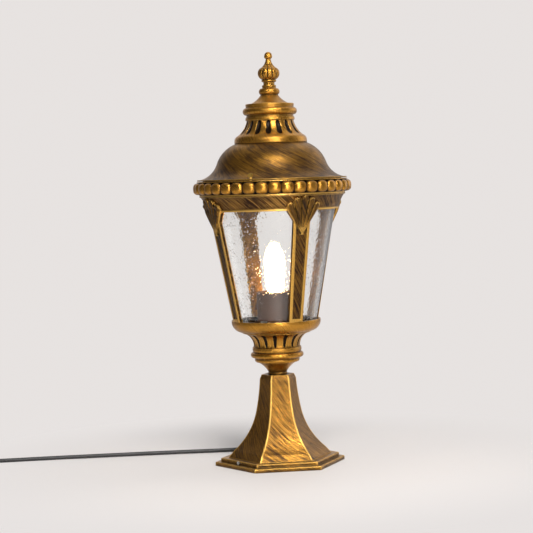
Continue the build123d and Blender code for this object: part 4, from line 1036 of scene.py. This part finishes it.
def make_stage():
    n = Nodes("floor")
    split = n.add("ShaderNodeVectorMath", operation="LENGTH")
    n.link(n.place(), split.inputs[0])
    fade = n.math("MULTIPLY", n.between(split.outputs["Value"], *FLOOR_FADE), seen_directly(n.tree)[0])
    tone = n.noise(n.place(), 3.0, 1.0)
    near = n.principled(Base_Color=n.mix(tone, FLOOR, tuple(c * 1.02 for c in FLOOR)), Roughness=0.6)
    far = n.add("ShaderNodeEmission")
    far.inputs["Color"].default_value = (*BACKDROP, 1)
    mix = n.add("ShaderNodeMixShader")
    n.link(fade, mix.inputs[0])
    n.link(near.outputs[0], mix.inputs[1])
    n.link(far.outputs[0], mix.inputs[2])
    n.finish(mix)
    sides = 96
    rings = [0.0, 0.3, 0.6, 1.0, 1.6, 3.0, FLOOR_RADIUS]
    vertices = [(r * math.sin(2 * math.pi * k / sides), r * math.cos(2 * math.pi * k / sides), 0)
                for r in rings[1:] for k in range(sides)]
    vertices.append((0, 0, 0))
    centre = len(vertices) - 1
    faces = [(centre, (k + 1) % sides, k) for k in range(sides)]
    for ring in range(len(rings) - 2):
        inner = ring * sides
        outer = inner + sides
        for k in range(sides):
            faces.append((inner + k, inner + (k + 1) % sides, outer + (k + 1) % sides, outer + k))
    floor = new_mesh("floor", vertices, faces)
    floor.data.materials.append(n.material)


def make_world():
    world = bpy.data.worlds.new("world")
    world.use_nodes = True
    tree = world.node_tree
    tree.nodes.clear()
    output = tree.nodes.new("ShaderNodeOutputWorld")
    direct, ray = seen_directly(tree)

    def background(colour, strength):
        node = tree.nodes.new("ShaderNodeBackground")
        node.inputs["Color"].default_value = (*colour, 1)
        node.inputs["Strength"].default_value = strength
        return node.outputs[0]

    def mix(share, first, second):
        node = tree.nodes.new("ShaderNodeMixShader")
        for socket, source in zip(node.inputs, (share, first, second)):
            tree.links.new(source, socket)
        return node.outputs[0]

    direction = tree.nodes.new("ShaderNodeTexCoord")
    side = tree.nodes.new("ShaderNodeVectorMath")
    side.operation = "DOT_PRODUCT"
    tree.links.new(direction.outputs["Generated"], side.inputs[0])
    side.inputs[1].default_value = BACKDROP_SIDE
    behind = tree.nodes.new("ShaderNodeMapRange")
    behind.interpolation_type = "SMOOTHSTEP"
    tree.links.new(side.outputs["Value"], behind.inputs["Value"])
    behind.inputs["From Min"].default_value = 0.1
    behind.inputs["From Max"].default_value = 0.9
    seen = background(BACKDROP, 1.0)
    mirrored = mix(behind.outputs["Result"], background(BACKDROP, MIRRORED_STRENGTH), seen)
    light = mix(ray.outputs["Is Glossy Ray"], background(SKY, SKY_STRENGTH), mirrored)
    tree.links.new(mix(direct, light, seen), output.inputs["Surface"])
    bpy.context.scene.world = world


def area_light(name, azimuth, elevation, distance, size, power, colour=(1, 1, 1)):
    """Soft light that looks at the lantern; azimuth is in degrees from the front, right is positive."""
    a = math.radians(azimuth)
    e = math.radians(elevation)
    way = Vector((math.sin(a) * math.cos(e), -math.cos(a) * math.cos(e), math.sin(e)))
    data = bpy.data.lights.new(name, "AREA")
    data.shape = "RECTANGLE"
    data.size = size[0]
    data.size_y = size[1]
    data.energy = power
    data.color = colour
    lamp = bpy.data.objects.new(name, data)
    lamp.location = Vector(LIT_POINT) + way * distance
    lamp.rotation_euler = (-way).to_track_quat("-Z", "Y").to_euler()
    lamp.visible_camera = False
    bpy.context.collection.objects.link(lamp)


def make_lights():
    area_light("key", 4, 48, 1.7, (0.64, 0.5), 25, WARM_WHITE)
    area_light("front", 8, 9, 1.9, (0.24, 0.8), 18, WARM_WHITE)
    area_light("right", 110, 15, 2.0, (0.7, 1.4), 4, COOL_WHITE)
    area_light("top", 160, 70, 1.8, (1.6, 1.6), 7)


make_camera()
cable_rubber = paint_all()
make_cable(cable_rubber)
make_stage()
make_world()
make_lights()
bpy.context.scene.view_settings.view_transform = "Standard"
